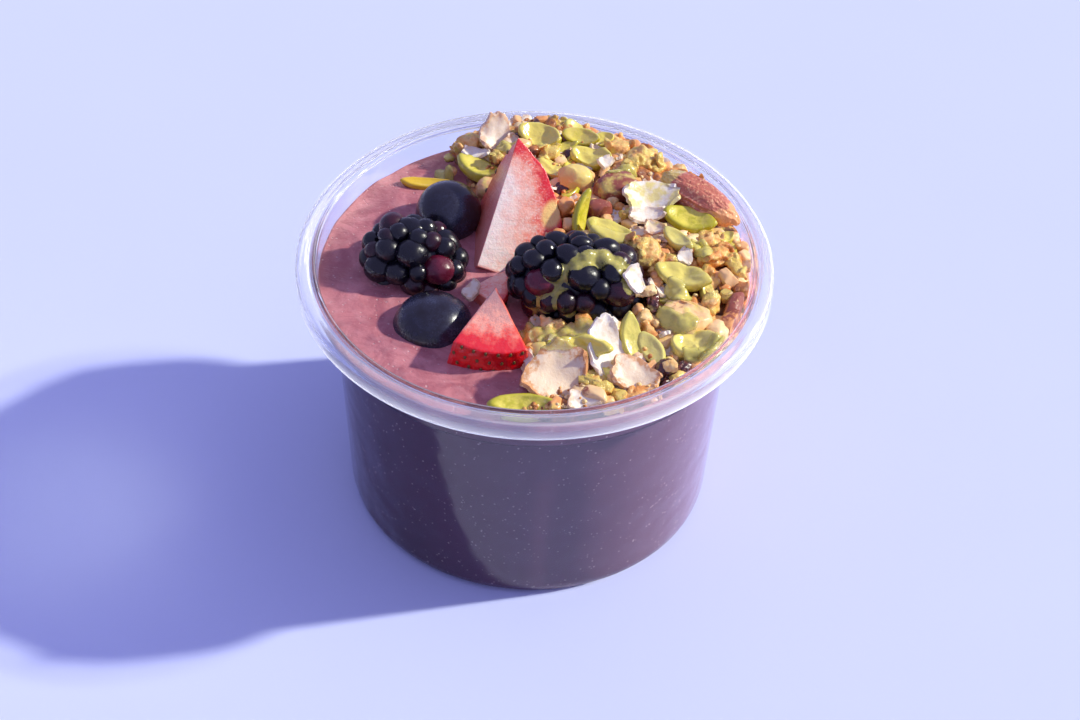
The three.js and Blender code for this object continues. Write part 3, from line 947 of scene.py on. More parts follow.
@dataclass(frozen=True)
class CoconutShaving(Glazed):
    """Shaved coconut, white with a toasted edge where its tone is high."""

    white: Colour = srgb(244, 238, 228)
    cream: Colour = srgb(238, 220, 196)
    baked: Colour = srgb(230, 200, 160)
    toast: Colour = srgb(204, 140, 84)

    def join(self, shader: Shader) -> None:
        """Joins the nodes.

        Args:
            shader: the material's nodes.
        """
        fibres = shader.noise(1.2, 4, 0.65)
        plain = shader.mix(shader.step(fibres, 0.35, 0.7), self.white, self.cream)
        base = shader.mix(shader.times(shader.marked("tone"), 0.78), plain, self.baked)
        edge = shader.step(shader.times(shader.marked("edge"), fibres), 0.3, 0.5)
        brown = shader.times(edge, shader.marked("tone"))
        colour, rough = self.glazed(shader, shader.mix(brown, base, self.toast), 0.45)
        shader.dress(
            Base_Color=colour, Roughness=rough, Normal=shader.bump(fibres, 0.15))
        shader.soften(0.3, (1.0, 0.9, 0.8), 1.0)


@dataclass(frozen=True)
class NutFlesh(Glazed):
    """Nuts: brown papery skin, and paler flesh where it is broken."""

    skin: Colour = srgb(150, 78, 60)
    flesh: Colour = srgb(248, 210, 152)
    deep: Colour = srgb(222, 138, 66)
    grain: float = 0.63
    relief: float = 0.15

    def join(self, shader: Shader) -> None:
        """Joins the nodes; the mesh carries how much skin there is and how toasted the flesh is.

        Args:
            shader: the material's nodes.
        """
        veins = shader.noise(2.4, 4, 0.6, distortion=0.5)
        toasted = shader.plus(shader.marked("tone"), shader.step(veins, 0.4, 0.8, -0.2, 0.2))
        flesh = shader.mix(toasted, self.flesh, self.deep)
        papery = shader.minus(shader.plus(shader.marked("skin"), veins), 0.5)
        skinned = shader.step(papery, 0.3, 0.45)
        pale = shader.step(shader.noise(0.7, 2), self.grain, self.grain + 0.07, 0, 0.5)
        skin = shader.mix(pale, self.skin, self.flesh)
        colour, rough = self.glazed(shader, shader.mix(skinned, flesh, skin), 0.4)
        shader.dress(
            Base_Color=colour, Roughness=rough,
            Normal=shader.bump(shader.noise(0.6, 3, 0.6), self.relief - 0.15, shader.bump(veins, 0.15)),
            Coat_Weight=0.2, Coat_Roughness=0.18)
        shader.soften(0.1, (1.0, 0.5, 0.3), 0.8)


@dataclass(frozen=True)
class RaisinSkin(Glazed):
    """Wrinkled dark raisins."""

    dark: Colour = srgb(64, 32, 30)
    wine: Colour = srgb(122, 62, 52)

    def join(self, shader: Shader) -> None:
        """Joins the nodes.

        Args:
            shader: the material's nodes.
        """
        folds = shader.noise(1.4, 4, 0.6, distortion=0.8)
        folded = shader.mix(shader.step(folds, 0.35, 0.75), self.dark, self.wine)
        colour, rough = self.glazed(shader, folded, 0.26)
        shader.dress(
            Base_Color=colour, Roughness=rough, Normal=shader.bump(folds, 0.25),
            Coat_Weight=0.3, Coat_Roughness=0.12)


@dataclass(frozen=True)
class NutButter(Finish):
    """Thin glossy nut butter that lets a little of what it covers through."""

    thick: Colour = srgb(228, 210, 106)
    thin: Colour = srgb(214, 206, 116)

    def join(self, shader: Shader) -> None:
        """Joins the nodes; the mesh carries how thick the layer is.

        Args:
            shader: the material's nodes.
        """
        cloud = shader.noise(2.2, 3)
        body = shader.plus(shader.marked("tone"), shader.step(cloud, 0.3, 0.7, -0.15, 0.15))
        shader.dress(
            Base_Color=shader.mix(body, self.thin, self.thick),
            Alpha=shader.step(body, 0.0, 0.7, 0.3, 0.97),
            Roughness=shader.step(cloud, 0.3, 0.7, 0.14, 0.26),
            Coat_Weight=0.4, Coat_Roughness=0.06, Normal=shader.bump(cloud, 0.1))
        shader.soften(0.2, (1.0, 0.8, 0.2), 1.0)


@dataclass(frozen=True)
class FloorPaint(Finish):
    """The pale floor of the studio."""

    light: Colour = srgb(206, 214, 253)
    dim: Colour = srgb(203, 211, 251)

    def join(self, shader: Shader) -> None:
        """Joins the nodes."""
        cloud = shader.noise(60, 2)
        shader.dress(Base_Color=shader.mix(cloud, self.light, self.dim), Roughness=0.7)


GRAIN = ToastedGrain("toasted_grain")
COCONUT = CoconutShaving("coconut_shaving")


# ------------------------------------------------------------------ tub and filling


@dataclass(frozen=True)
class Inside:
    """The space in the tub and what lies in it, in millimetres."""

    level: float = 56.15
    fall: float = 0.014
    wave: float = 0.28
    wave_length: float = 17.0
    heap_radius: float = 44.0
    heap_reach: float = 0.985

    def edge(self, y: Points) -> Points:
        """Gives x of the granola's inner edge, which ends at the neck."""
        neck = np.sqrt(np.maximum(self.heap_radius**2 - np.square(y), 0))
        return np.maximum(np.minimum(-1.0, -6.4 - 0.33 * y), -neck)

    def filling_top(self, x: Points, y: Points) -> Points:
        """Gives the height of the filling's stirred surface.

        Args:
            x: how far to the right.
            y: how far to the back.

        Returns:
            The height of each place.
        """
        u, v = TURN * x / self.wave_length, TURN * y / self.wave_length
        swirl = np.sin(u + 0.9 * np.cos(v)) * np.cos(0.8 * v + 0.6)
        bare = 1 - smoothstep(x - self.edge(y), -9, -3)
        return self.level - self.fall * y + self.wave * swirl * bare

    def heap_top(self, x: Points, y: Points) -> Points:
        """Gives the height of the granola's bare core.

        Args:
            x: how far to the right.
            y: how far to the back.

        Returns:
            The height of each place.
        """
        edge = self.edge(y)
        outer = np.sqrt(np.maximum(self.heap_radius**2 - y**2, 0))
        across = (x - edge) / np.maximum(outer - edge, 1e-6)
        along = (y / self.heap_radius + 1) / 2
        crest = 1.9 + 3.5 * smoothstep(along, 0.05, 0.55)
        inner = smoothstep(across, 0, 0.35)
        rise = 0.7 + (crest - 0.7) * inner
        fall = 1 - 0.45 * smoothstep(across, 0.6, 1)
        bumps = 0.4 * np.sin(0.55 * x + 0.2 * y) * np.sin(-0.1 * x + 0.5 * y) * inner
        return self.filling_top(x, y) + 0.45 + rise * fall + bumps

    def heap_place(self, across: Points, along: Points) -> tuple[Points, Points]:
        """Gives a place in the crescent from its two shares.

        Args:
            across: 0 at the inner edge, 1 at the outer.
            along: 0 in front, 1 at the back.

        Returns:
            Its x and y.
        """
        y = self.heap_radius * self.heap_reach * (2 * along - 1)
        edge = self.edge(y)
        return edge + (np.sqrt(self.heap_radius**2 - y**2) - edge) * across, y

    def heap_height(self, x: float, y: float) -> float:
        """Gives the height of the granola's bare core at one place."""
        return float(self.heap_top(np.array(x), np.array(y)))


INSIDE = Inside()


@dataclass
class Tub:
    """The clear tub with its stacking shoulder and turned-down rim. Millimetres."""

    wall: float = 0.7
    base_radius: float = 38.7
    taper: float = 0.053
    corner: float = 3.4
    foot: float = 33.0
    kick: float = 1.0
    shoulder: float = 49.4
    neck: float = 44.5
    rim_top: float = 60.8
    rim_radius: float = 49.0
    skirt: float = 56.6
    steps: int = 192
    wavy_rim: float = 0.12
    finish: ClearPlastic = ClearPlastic("tub_plastic")

    def side(self, height: float) -> float:
        """Gives the outside radius of the side at a height."""
        return self.base_radius + self.taper * height

    def inner(self, inset: float) -> list[Triple]:
        """Gives the inside from the middle of the base to the neck.

        Args:
            inset: how far it is moved inwards.

        Returns:
            Radius, height and rounding of each corner.
        """
        wall = self.wall + inset
        step = self.shoulder + self.wall / 2
        return [
            (0, self.kick + wall, 0), (self.foot - 2, self.kick + wall, 0.4),
            (self.foot, wall, 0.4), (self.side(0) - wall, wall, self.corner - wall),
            (self.side(step) - wall, step + inset, 0.5),
            (self.neck - inset - 0.5, step + 0.9 + inset, 0.5)]

    def build(self) -> Piece:
        """Spins the wall's outline, inside and out.

        Returns:
            The tub.
        """
        wall, top, edge = self.wall, self.rim_top, self.rim_radius
        under, skirt = top - wall, edge - wall
        outline = rounded([
            *self.inner(0), (self.neck, under - 0.9, 0.3), (self.neck + 0.25, top, 0.35),
            (45.3, top, 0.12), (45.55, top - 0.15, 0.1), (46.1, top - 0.5, 0.2),
            (46.65, top - 0.1, 0.12), (47.0, top, 0.15),
            (edge, top, 1.55), (edge, 57.4, 0.2), (edge - 0.12, 57.0, 0.1),
            (edge, self.skirt, 0.1), (skirt, self.skirt, 0.1), (skirt, under, 0.9),
            (self.neck + wall, under, 0.4), (self.neck + wall - 0.5, self.shoulder + 0.9, 0.4),
            (self.side(self.shoulder), self.shoulder, 0.5), (self.side(0), 0, self.corner),
            (self.foot, 0, 0.4), (self.foot - 2, self.kick, 0.4), (0, self.kick, 0)])
        piece = Bench.turned("tub_wall", outline, self.steps)
        x, y, z = Bench.points(piece).T / MM
        reach = np.hypot(x, y)

        def line(value: Points, middle: float, width: float) -> Points:
            """Gives 1 on a line and less beside it."""
            return np.exp(-((value - middle) / width) ** 2)

        # Painted highlights: thin white lines at the rim's edges and the skirt's lip, and a pale flange,
        # stand for light caught in the rim.
        highlight_lines = ((0.5, 45.05, 0.16), (0.3, 46.85, 0.14), (0.3, 48.6, 0.2))
        highlight_share = sum(share * line(reach, *where) for share, *where in highlight_lines)
        milk = 0.24 * smoothstep(reach, 45.3, 45.8) + (z > top - 1) * highlight_share
        lip_highlight = line(z, self.skirt + 0.1, 0.25) * (reach > skirt - 0.2)
        wavy = self.wavy_rim + (1 - self.wavy_rim) * smoothstep(z, 51, 47)
        Bench.mark(piece, milk=np.clip(milk + 0.5 * lip_highlight, 0, 1), wavy=wavy)
        return self.finish.on(piece, 40)


@dataclass
class AcaiFilling:
    """The thick puree that fills the tub, and the pumpkin seed that lies alone on it."""

    tub: Tub
    into_wall: float = 0.15
    ring_step: float = 0.55
    steps: int = 240
    seed_place: Triple = (-23.9, 27.4, 56.2)
    seed_size: Triple = (11.4, 3.4, 1.9)
    finish: AcaiPuree = AcaiPuree("stirred_puree")

    def surface(self, places: Points) -> Points:
        """Moves the points of the flat top to the stirred surface.

        Args:
            places: the piece's points, in metres.

        Returns:
            The moved points.
        """
        x, y = places[:, 0] / MM, places[:, 1] / MM
        flat = in_plan(x, y)
        streaks = 0.16 * rough_noise(flat, 6, 5) + 0.05 * rough_noise(flat, 1.6, 9)
        calm = smoothstep(np.hypot(x, y), self.tub.neck + 0.4, self.tub.neck - 2.5)
        height = INSIDE.filling_top(x, y) + streaks * calm
        on_top = places[:, 2] > (INSIDE.level - 0.01) * MM
        places[:, 2] = np.where(on_top, height * MM, places[:, 2])
        return places

    def build(self) -> Piece:
        """Spins the filling and stirs its top.

        Returns:
            The filling.
        """
        neck = self.tub.neck + self.into_wall
        sides = rounded([*self.tub.inner(-self.into_wall), (neck - 0.2, INSIDE.level, 0)])
        rings = np.arange(neck - 0.2 - self.ring_step, 0, -self.ring_step)
        outline = sides + [(r * MM, INSIDE.level * MM) for r in rings] + [(0, INSIDE.level * MM)]
        piece = Bench.turned("acai_puree", outline, self.steps)
        Bench.reshape(piece, self.surface)
        x, y, z = Bench.points(piece).T / MM
        wall = smoothstep(np.hypot(x, y), self.tub.side(z) - 2, self.tub.side(z) - 1.2)
        turn = np.degrees(np.arctan2(x, -y))
        # Painted light and reflection: the side behind the tub is marked paler round the front and
        # towards the light on the right.
        lit = 0.3 * smoothstep(turn, -45, 10) + 0.32 * smoothstep(turn, 40, 80)
        Bench.mark(piece, wet=wall * (z < INSIDE.level - 2), film=lit * smoothstep(turn, 178, 130))
        return self.finish.on(piece)


# ------------------------------------------------------------------ fruit


@dataclass
class Blueberry:
    """One blueberry: middle and half sizes in millimetres."""

    name: str
    centre: Triple
    half: Triple
    yaw: float
    bloom: float
    seed: int

    def uneven(self, places: Points) -> Points:
        """Presses the round form a little out of true, always inwards."""
        dents = 0.5 + 0.5 * rough_noise(places, 0.9, self.seed, 2)
        return places * (1 - 0.03 * np.clip(dents, 0, 1.2))[:, None]

    def build(self) -> Piece:
        """Shapes a ball and sets it in its place.

        Returns:
            The berry.
        """
        piece = Bench.ball(self.name + "_fruit", 64, 40)
        Bench.reshape(piece, self.uneven)
        piece.data.transform(placement(self.centre, self.yaw) @ scaled(self.half))
        return WaxyBerry(self.name + "_skin", cover=self.bloom).on(piece)


@dataclass
class Bramble:
    """A berry of many drupelets on a core, its long axis along the turned X. Millimetres."""

    name: str
    centre: Triple
    length: float
    radius: float
    drupelet: float
    yaw: float
    pitch: float
    chosen: Sequence[Drupelet] = ()
    crowding: float = 0.62
    small_share: float = 0.64
    small_tries: int = 240
    small_crowding: float = 0.6
    finish: DrupeletSkin = DrupeletSkin("bramble_skin")

    @property
    def place(self) -> Matrix:
        """Gives the berry's place and turn."""
        return placement(self.centre, self.yaw, self.pitch)

    def around(self, plan: Points) -> tuple[Points, Points]:
        """Gives places on the axis and outward directions.

        Args:
            plan: millimetres along the axis and, ten for each radian, round it.

        Returns:
            The places, in millimetres, and the directions.
        """
        turn = np.array(self.place.to_3x3())
        angle = plan[:, 1] / 10
        flat = np.zeros(len(plan))
        out = np.column_stack([flat, np.cos(angle), np.sin(angle)]) @ turn.T
        return np.column_stack([plan[:, 0], flat, flat]) @ turn.T + self.centre, out

    def layout(self) -> list[Drupelet]:
        """Gives the place, radius, stretch and redness of each drupelet, the chosen ones first.

        Returns:
            One row for each drupelet.
        """
        reach = self.length / 2 - self.drupelet
        rings = round(2 * reach / (1.72 * self.drupelet))
        spots = [(-reach, 0, 0), (reach, 0, 0)]
        for ring in range(rings):
            along = -reach + 2 * reach * (ring + 0.5) / rings
            out = (self.radius - self.drupelet) * math.sqrt(1 - (2 * along / self.length) ** 2)
            count = max(4, round(TURN * out / (1.8 * self.drupelet)))
            for k in range(count):
                turn = (k + 0.5 * (ring % 2)) / count * TURN
                spots.append((along, out * math.cos(turn), out * math.sin(turn)))

        def clear(spot: Triple, size: float, others: Sequence[Drupelet], crowding: float) -> bool:
            """Tells whether a drupelet of a size keeps clear of the others."""
            return all(math.dist(spot, other[:3]) > crowding * (size + other[3]) for other in others)

        free = [spot for spot in spots if clear(spot, self.drupelet, self.chosen, self.crowding)]
        rng = random.Random(len(spots))
        laid = [*self.chosen]
        for spot in free:
            size, stretch = self.drupelet * rng.uniform(0.86, 1.0), rng.uniform(0.9, 1.15)
            laid.append((*spot, size, stretch, rng.choice((0, 0, 0.1, 0.3))))
        small = self.small_share * self.drupelet
        inset = 1.15 * small
        for k in range(self.small_tries):
            along, turn = 2 * (k + 0.5) / self.small_tries - 1, GOLDEN_TURN * k
            out = (self.radius - inset) * math.sqrt(1 - along * along)
            spot = ((self.length / 2 - inset) * along, out * math.cos(turn), out * math.sin(turn))
            if clear(spot, small, laid, self.small_crowding):
                laid.append((*spot, small * rng.uniform(0.95, 1.15), 1.0, rng.choice((0, 0, 0.2))))
        return laid

    def build(self) -> Piece:
        """Shapes one drupelet, copies it over the core and joins them.

        Returns:
            The berry.
        """
        pattern = Bench.even_ball("drupelet", 4)
        coarse = Bench.even_ball("drupelet", 3)
        core = Bench.ball("bramble_core", 32, 16)
        depth = 0.85 * self.drupelet
        core.data.transform(self.place @ scaled(
            (self.length / 2 - depth, self.radius - depth, self.radius - depth)))
        Bench.mark(core, wine=0.0)
        parts = [core]
        rng = random.Random(7)
        for x, y, z, size, stretch, wine in self.layout():
            turn = Euler([rng.uniform(-0.35, 0.35) for _ in range(3)]).to_matrix().to_4x4()
            long, wide = 1.05 * size * math.sqrt(stretch), 1.05 * size / math.sqrt(stretch)
            where = self.place @ Matrix.Translation(Vector((x, y, z)) * MM)
            ball = pattern if size > 0.8 * self.drupelet else coarse
            part = Bench.copy(ball, where @ turn @ scaled((long, wide, wide)))
            dent = 0.05 * rough_noise(Bench.points(part) / MM, 2.6, len(parts))
            middle = np.array(where.translation)
            Bench.reshape(part, lambda p: middle + (p - middle) * (1 - np.abs(dent))[:, None])
            Bench.mark(part, wine=wine)
            parts.append(part)
        piece = Bench.join(parts, self.name + "_drupelets")
        Bench.discard([pattern, coarse])
        return self.finish.on(piece)


# The drupelets that show, in the berry's own axes: place, radius, stretch along it and redness,
# in millimetres and shares.
LEFT_DRUPELETS = [
    (-9.0, -2.3, -1.1, 2.05, 0.8, 0), (-4.6, -3.9, 4.1, 2.62, 1.04, 0),
    (-5.6, -1.9, 5.7, 1.9, 1.18, 0.1),
    (-1.9, 1.9, 5.8, 2.98, 1.35, 0), (-1.3, 4.6, 5.1, 2.26, 1.35, 0), (0.4, -3.7, 4.7, 3.18, 1.14, 0),
    (3.1, 4.8, 4.8, 2.05, 1.0, 0.3), (5.2, 3.4, 3.4, 3.13, 1.18, 0), (6.0, -3.5, 2.3, 3.29, 1.13, 1),
    (9.2, 0.0, -1.0, 2.36, 0.8, 0.2), (8.7, 2.2, 1.3, 2.36, 0.92, 0), (-1.6, -6.4, 1.0, 2.57, 1.08, 0),
    (2.0, -6.5, -0.9, 2.46, 1.18, 0.2), (4.9, -5.6, -2.1, 2.26, 1.2, 0.3),
]
RIGHT_DRUPELETS = [
    (-10.6, 2.4, 2.9, 2.57, 0.96, 0), (-8.8, -1.6, 5.3, 2.42, 1.18, 0), (-4.8, 4.6, 5.3, 2.67, 1.3, 0),
    (-8.5, 4.2, 4.9, 1.71, 1.12, 0), (-2.0, -1.4, 7.3, 2.72, 1.35, 0), (0.0, 2.1, 8.0, 2.02, 1.35, 0),
    (4.6, 3.8, 5.7, 2.82, 1.35, 0), (1.2, -4.5, 5.2, 3.32, 1.2, 0), (6.9, -3.0, 5.6, 2.62, 1.0, 0),
    (-11.6, -1.7, -1.8, 2.47, 0.8, 0), (-6.9, -5.1, 2.8, 3.07, 1.18, 1),
    (-8.0, -4.0, -4.3, 2.52, 0.92, 0.6), (-2.9, -4.9, -5.3, 2.82, 1.15, 0),
    (-1.4, -7.8, 1.0, 2.37, 0.88, 0.1), (4.3, -7.0, -1.0, 2.72, 1.16, 0),
    (9.2, -5.1, -1.0, 2.42, 1.0, 0), (1.6, -5.4, -5.8, 2.27, 1.25, 0), (11.7, -2.9, -0.5, 2.12, 0.91, 0),
]


PIP_SKIN = SeedSkin(
    "pip_skin", edge=srgb(96, 74, 20), face=srgb(66, 46, 14), pale=srgb(140, 110, 40))


@dataclass
class StrawberryPiece:
    """A piece of strawberry between two flat cuts that meet at the core. Millimetres, degrees.

    A piece that has lost more of its tip than its blunt length has no point.
    """

    name: str
    stem: Triple
    tip: Triple
    face: Triple
    opening: float
    radius: float
    slope: float
    tip_lost: float
    paling: float = 1.0
    palest: float = 1.0
    patch: Triple | None = None
    blunt: float = 10
    seed_step: float = 2.5
    seed_size: Triple = (0.34, 0.56, 0.3)
    dimple_depth: float = 0.3
    dimple_width: float = 0.75
    voxel: float = 0.26
    finish: StrawberryFlesh = StrawberryFlesh("strawberry_flesh")

    def __post_init__(self) -> None:
        """Works out the length and the matrix from the piece's own axes to its place."""
        base, axis = Vector(self.stem), Vector(self.tip) - Vector(self.stem)
        self.length = axis.length
        axis.normalize()
        across = Vector(self.face) - base
        across = (across - axis * across.dot(axis)).normalized()
        outward = across.cross(axis)
        columns = Matrix((across, -outward, axis)).transposed().to_4x4()
        back = 0 if outward.z > 0 else -self.opening
        self.main = -back
        self.matrix = (
            Matrix.Translation(base * MM) @ columns @ Matrix.Rotation(math.radians(back), 4, "Z"))

    def skin_radius(self, height: Points) -> Points:
        """Gives the whole fruit's radius at a height from the stem end.

        Args:
            height: how far from the stem end.

        Returns:
            The radius there.
        """
        short = self.length - np.asarray(height)
        full = self.radius * np.tanh(self.slope * (short + self.tip_lost) / self.radius)
        return full if self.tip_lost > self.blunt else full * np.clip(short / 4, 0.002, 1) ** 0.55

    def marks(self, piece: Piece) -> None:
        """Stores how deep each point lies, whether it is skin, the painted shade on the second cut face
        and the stem end, and the run of the fibres.

        Args:
            piece: the flesh, in its own axes.
        """
        places = Bench.points(piece) / MM
        reach = np.hypot(places[:, 0], places[:, 1])
        full = np.maximum(self.skin_radius(np.clip(places[:, 2], 0, self.length)), 0.1)
        under = (full - reach) / full
        if self.tip_lost <= self.blunt:
            under = np.minimum(under, (self.length - places[:, 2]) / (0.4 * self.length))
        Bench.mark(piece, depth=np.clip(self.paling * under, 0, self.palest))
        turn = np.arctan2(places[:, 1], places[:, 0])
        # Painted shade: the second cut face and the stem-end cut are marked to turn a darker salmon red.
        other = math.radians(self.opening - self.main)
        off = np.abs(places[:, 0] * math.sin(other) - places[:, 1] * math.cos(other))
        beside = smoothstep(np.abs(turn - math.radians(self.main)), 0.15, 0.3)
        beside = beside * smoothstep(off, 0.6, 0.25)
        foot = smoothstep(places[:, 2], 0.6, 0.2)
        foot = foot * (self.tip_lost <= self.blunt)
        Bench.mark(piece, aged=np.clip(beside + 0.8 * foot, 0, 1))
        unripe = 0.0
        if self.patch:
            spot = self.matrix.inverted() @ (Vector(self.patch) * MM) / MM
            gap = np.linalg.norm((places - np.array(spot)) * (0.75, 1, 0.5), axis=1)
            unripe = smoothstep(gap, 1.9, 1.1)
        Bench.mark(piece, unripe=unripe)
        uncut = (turn > math.radians(3)) & (turn < math.radians(self.opening - 3))
        Bench.mark(piece, outside=smoothstep(reach - full, -0.42, -0.22) * uncut)
        grain = np.column_stack([turn * 9, places[:, 2] - 0.35 * reach, reach * 0.22]) * MM
        Bench.mark_vector(piece, "grain", grain)

    def dimples(self) -> list[Vector]:
        """Gives the places of the seeds on the skin, in the piece's own axes.

        Returns:
            One place for each seed.
        """
        spots = []
        for row, height in enumerate(np.arange(self.seed_step / 2, self.length, self.seed_step * 0.8)):
            full = float(self.skin_radius(height))
            step = self.seed_step / max(full, 1)
            turns = np.arange(step * (0.3 + 0.5 * (row % 2)), math.radians(self.opening), step)
            spots += [Vector((full * math.cos(t), full * math.sin(t), height)) for t in turns]
        return spots

    def build(self) -> list[Piece]:
        """Turns the piece, dimples its skin and sets the seeds in it.

        Returns:
            The flesh and the seeds.
        """
        heights = np.linspace(0, self.length, 24)
        outline = [(0.0, 0.0), *((float(self.skin_radius(h)) * MM, float(h) * MM) for h in heights)]
        if outline[-1][0] > MM * 0.1:
            outline.append((0.0, self.length * MM))
        else:
            outline[-1] = (0.0, self.length * MM)
        steps = max(8, round(self.opening / 4))
        piece = Bench.turned(self.name + "_flesh", outline, steps, math.radians(self.opening))
        Bench.remesh(piece, self.voxel * MM, 2)
        self.marks(piece)
        spots = self.dimples()

        def sunk(places: Points) -> Points:
            """Gives the height of the skin's dimples.

            Args:
                places: the flesh's points, in metres.

            Returns:
                One height for each point, in metres.
            """
            height = 0.05 * rough_noise(places / MM, 2.5, 3)
            for spot in spots:
                gap = np.linalg.norm(places / MM - np.array(spot), axis=1)
                height -= self.dimple_depth * np.exp(-((gap / self.dimple_width) ** 2))
            return height * MM

        Bench.relief(piece, sunk)
        piece.data.transform(self.matrix)
        return [self.finish.on(piece), self.seeds(spots)]

    def seeds(self, spots: Sequence[Vector]) -> Piece:
        """Sets a small pointed seed in each dimple.

        Args:
            spots: the dimples, in the piece's own axes.

        Returns:
            The seeds, joined.
        """
        pattern = Bench.ball("pip", 12, 8)
        parts = []
        for spot in spots:
            out = Vector((spot.x, spot.y, 0)).normalized()
            axes = Matrix((out.cross(Vector((0, 0, -1))), Vector((0, 0, 1)), out))
            where = Matrix.Translation((spot - 0.28 * out) * MM) @ axes.transposed().to_4x4()
            parts.append(Bench.copy(pattern, self.matrix @ where @ scaled(self.seed_size)))
        Bench.discard([pattern])
        joined = Bench.join(parts, self.name + "_pips")
        Bench.mark(joined, tone=0.3, glaze=0.0)
        return PIP_SKIN.on(joined)


@dataclass
class Almond:
    """A whole almond in its wrinkled skin. Millimetres and degrees."""

    centre: Triple = (34.0, 16.8, 63.4)
    half: Triple = (10.3, 4.7, 4.0)
    turn: Triple = (-38, 6, -24)
    point: float = 0.3
    finish: NutFlesh = NutFlesh(
        "almond_skin", skin=srgb(196, 110, 86), flesh=srgb(252, 202, 150),
        deep=srgb(232, 146, 80), grain=0.56, relief=0.5)

    def kernel(self, places: Points) -> Points:
        """Narrows the pointed end and wrinkles the skin along its length, always inwards.

        Args:
            places: the points of a ball of radius 1.

        Returns:
            The moved points.
        """
        x, y, z = places.T
        narrow = 1 - self.point * np.maximum(x, 0) ** 2
        round_form = np.column_stack([x, y * narrow, z * narrow])
        along = round_form * np.array([0.45, 1.6, 1.6])
        folds = np.abs(rough_noise(along, 0.5, 21, 3))
        return round_form * (0.965 + 0.035 * np.clip(1 - 2 * folds, -1, 1))[:, None]

    def build(self) -> Piece:
        """Shapes a ball into the kernel and sets it in its place.

        Returns:
            The almond.
        """
        piece = Bench.even_ball("almond_kernel", 6)
        Bench.reshape(piece, self.kernel)
        x, y, z = Bench.points(piece).T
        # Brown skin on the top and the blunt end, bare orange flesh at the pointed end and underneath;
        # the orange at the lower right, towards the light, is partly painted light.
        skin = smoothstep(z - 0.5 * y - 1.1 * np.maximum(x - 0.1, 0), -0.2, 0.5)
        Bench.mark(piece, skin=skin, tone=0.75, glaze=0.75 * smoothstep(x, -0.35, -0.75))
        piece.data.transform(placement(self.centre, *self.turn) @ scaled(self.half))
        return self.finish.on(piece)


# ------------------------------------------------------------------ granola


class Kind(Enum):
    """What a piece of granola is; the value names the joined piece."""

    SEED = "pumpkin_seeds"
    FLAKE = "coconut_flakes"
    CLUSTER = "toasted_clusters"
    NUT = "nut_pieces"
    RAISIN = "raisins"


@dataclass(frozen=True)
class Bit:
    """One piece of granola: its place in plan, its height over the core, size and turns.

    A piece that is turned about the upright alone has that turn as one number.
    """

    kind: Kind
    at: tuple[float, float]
    lift: float
    size: Triple
    turn: Triple | float
    tone: float
    glaze: float
    skin: float = 0.0
    voxel: float = FINE

    @property
    def place(self) -> Matrix:
        """Gives the piece's place and turn.

        Returns:
            The matrix, in metres.
        """
        x, y = self.at
        turns = self.turn if isinstance(self.turn, tuple) else (self.turn,)
        return placement((x, y, INSIDE.heap_height(x, y) + self.lift), *turns)


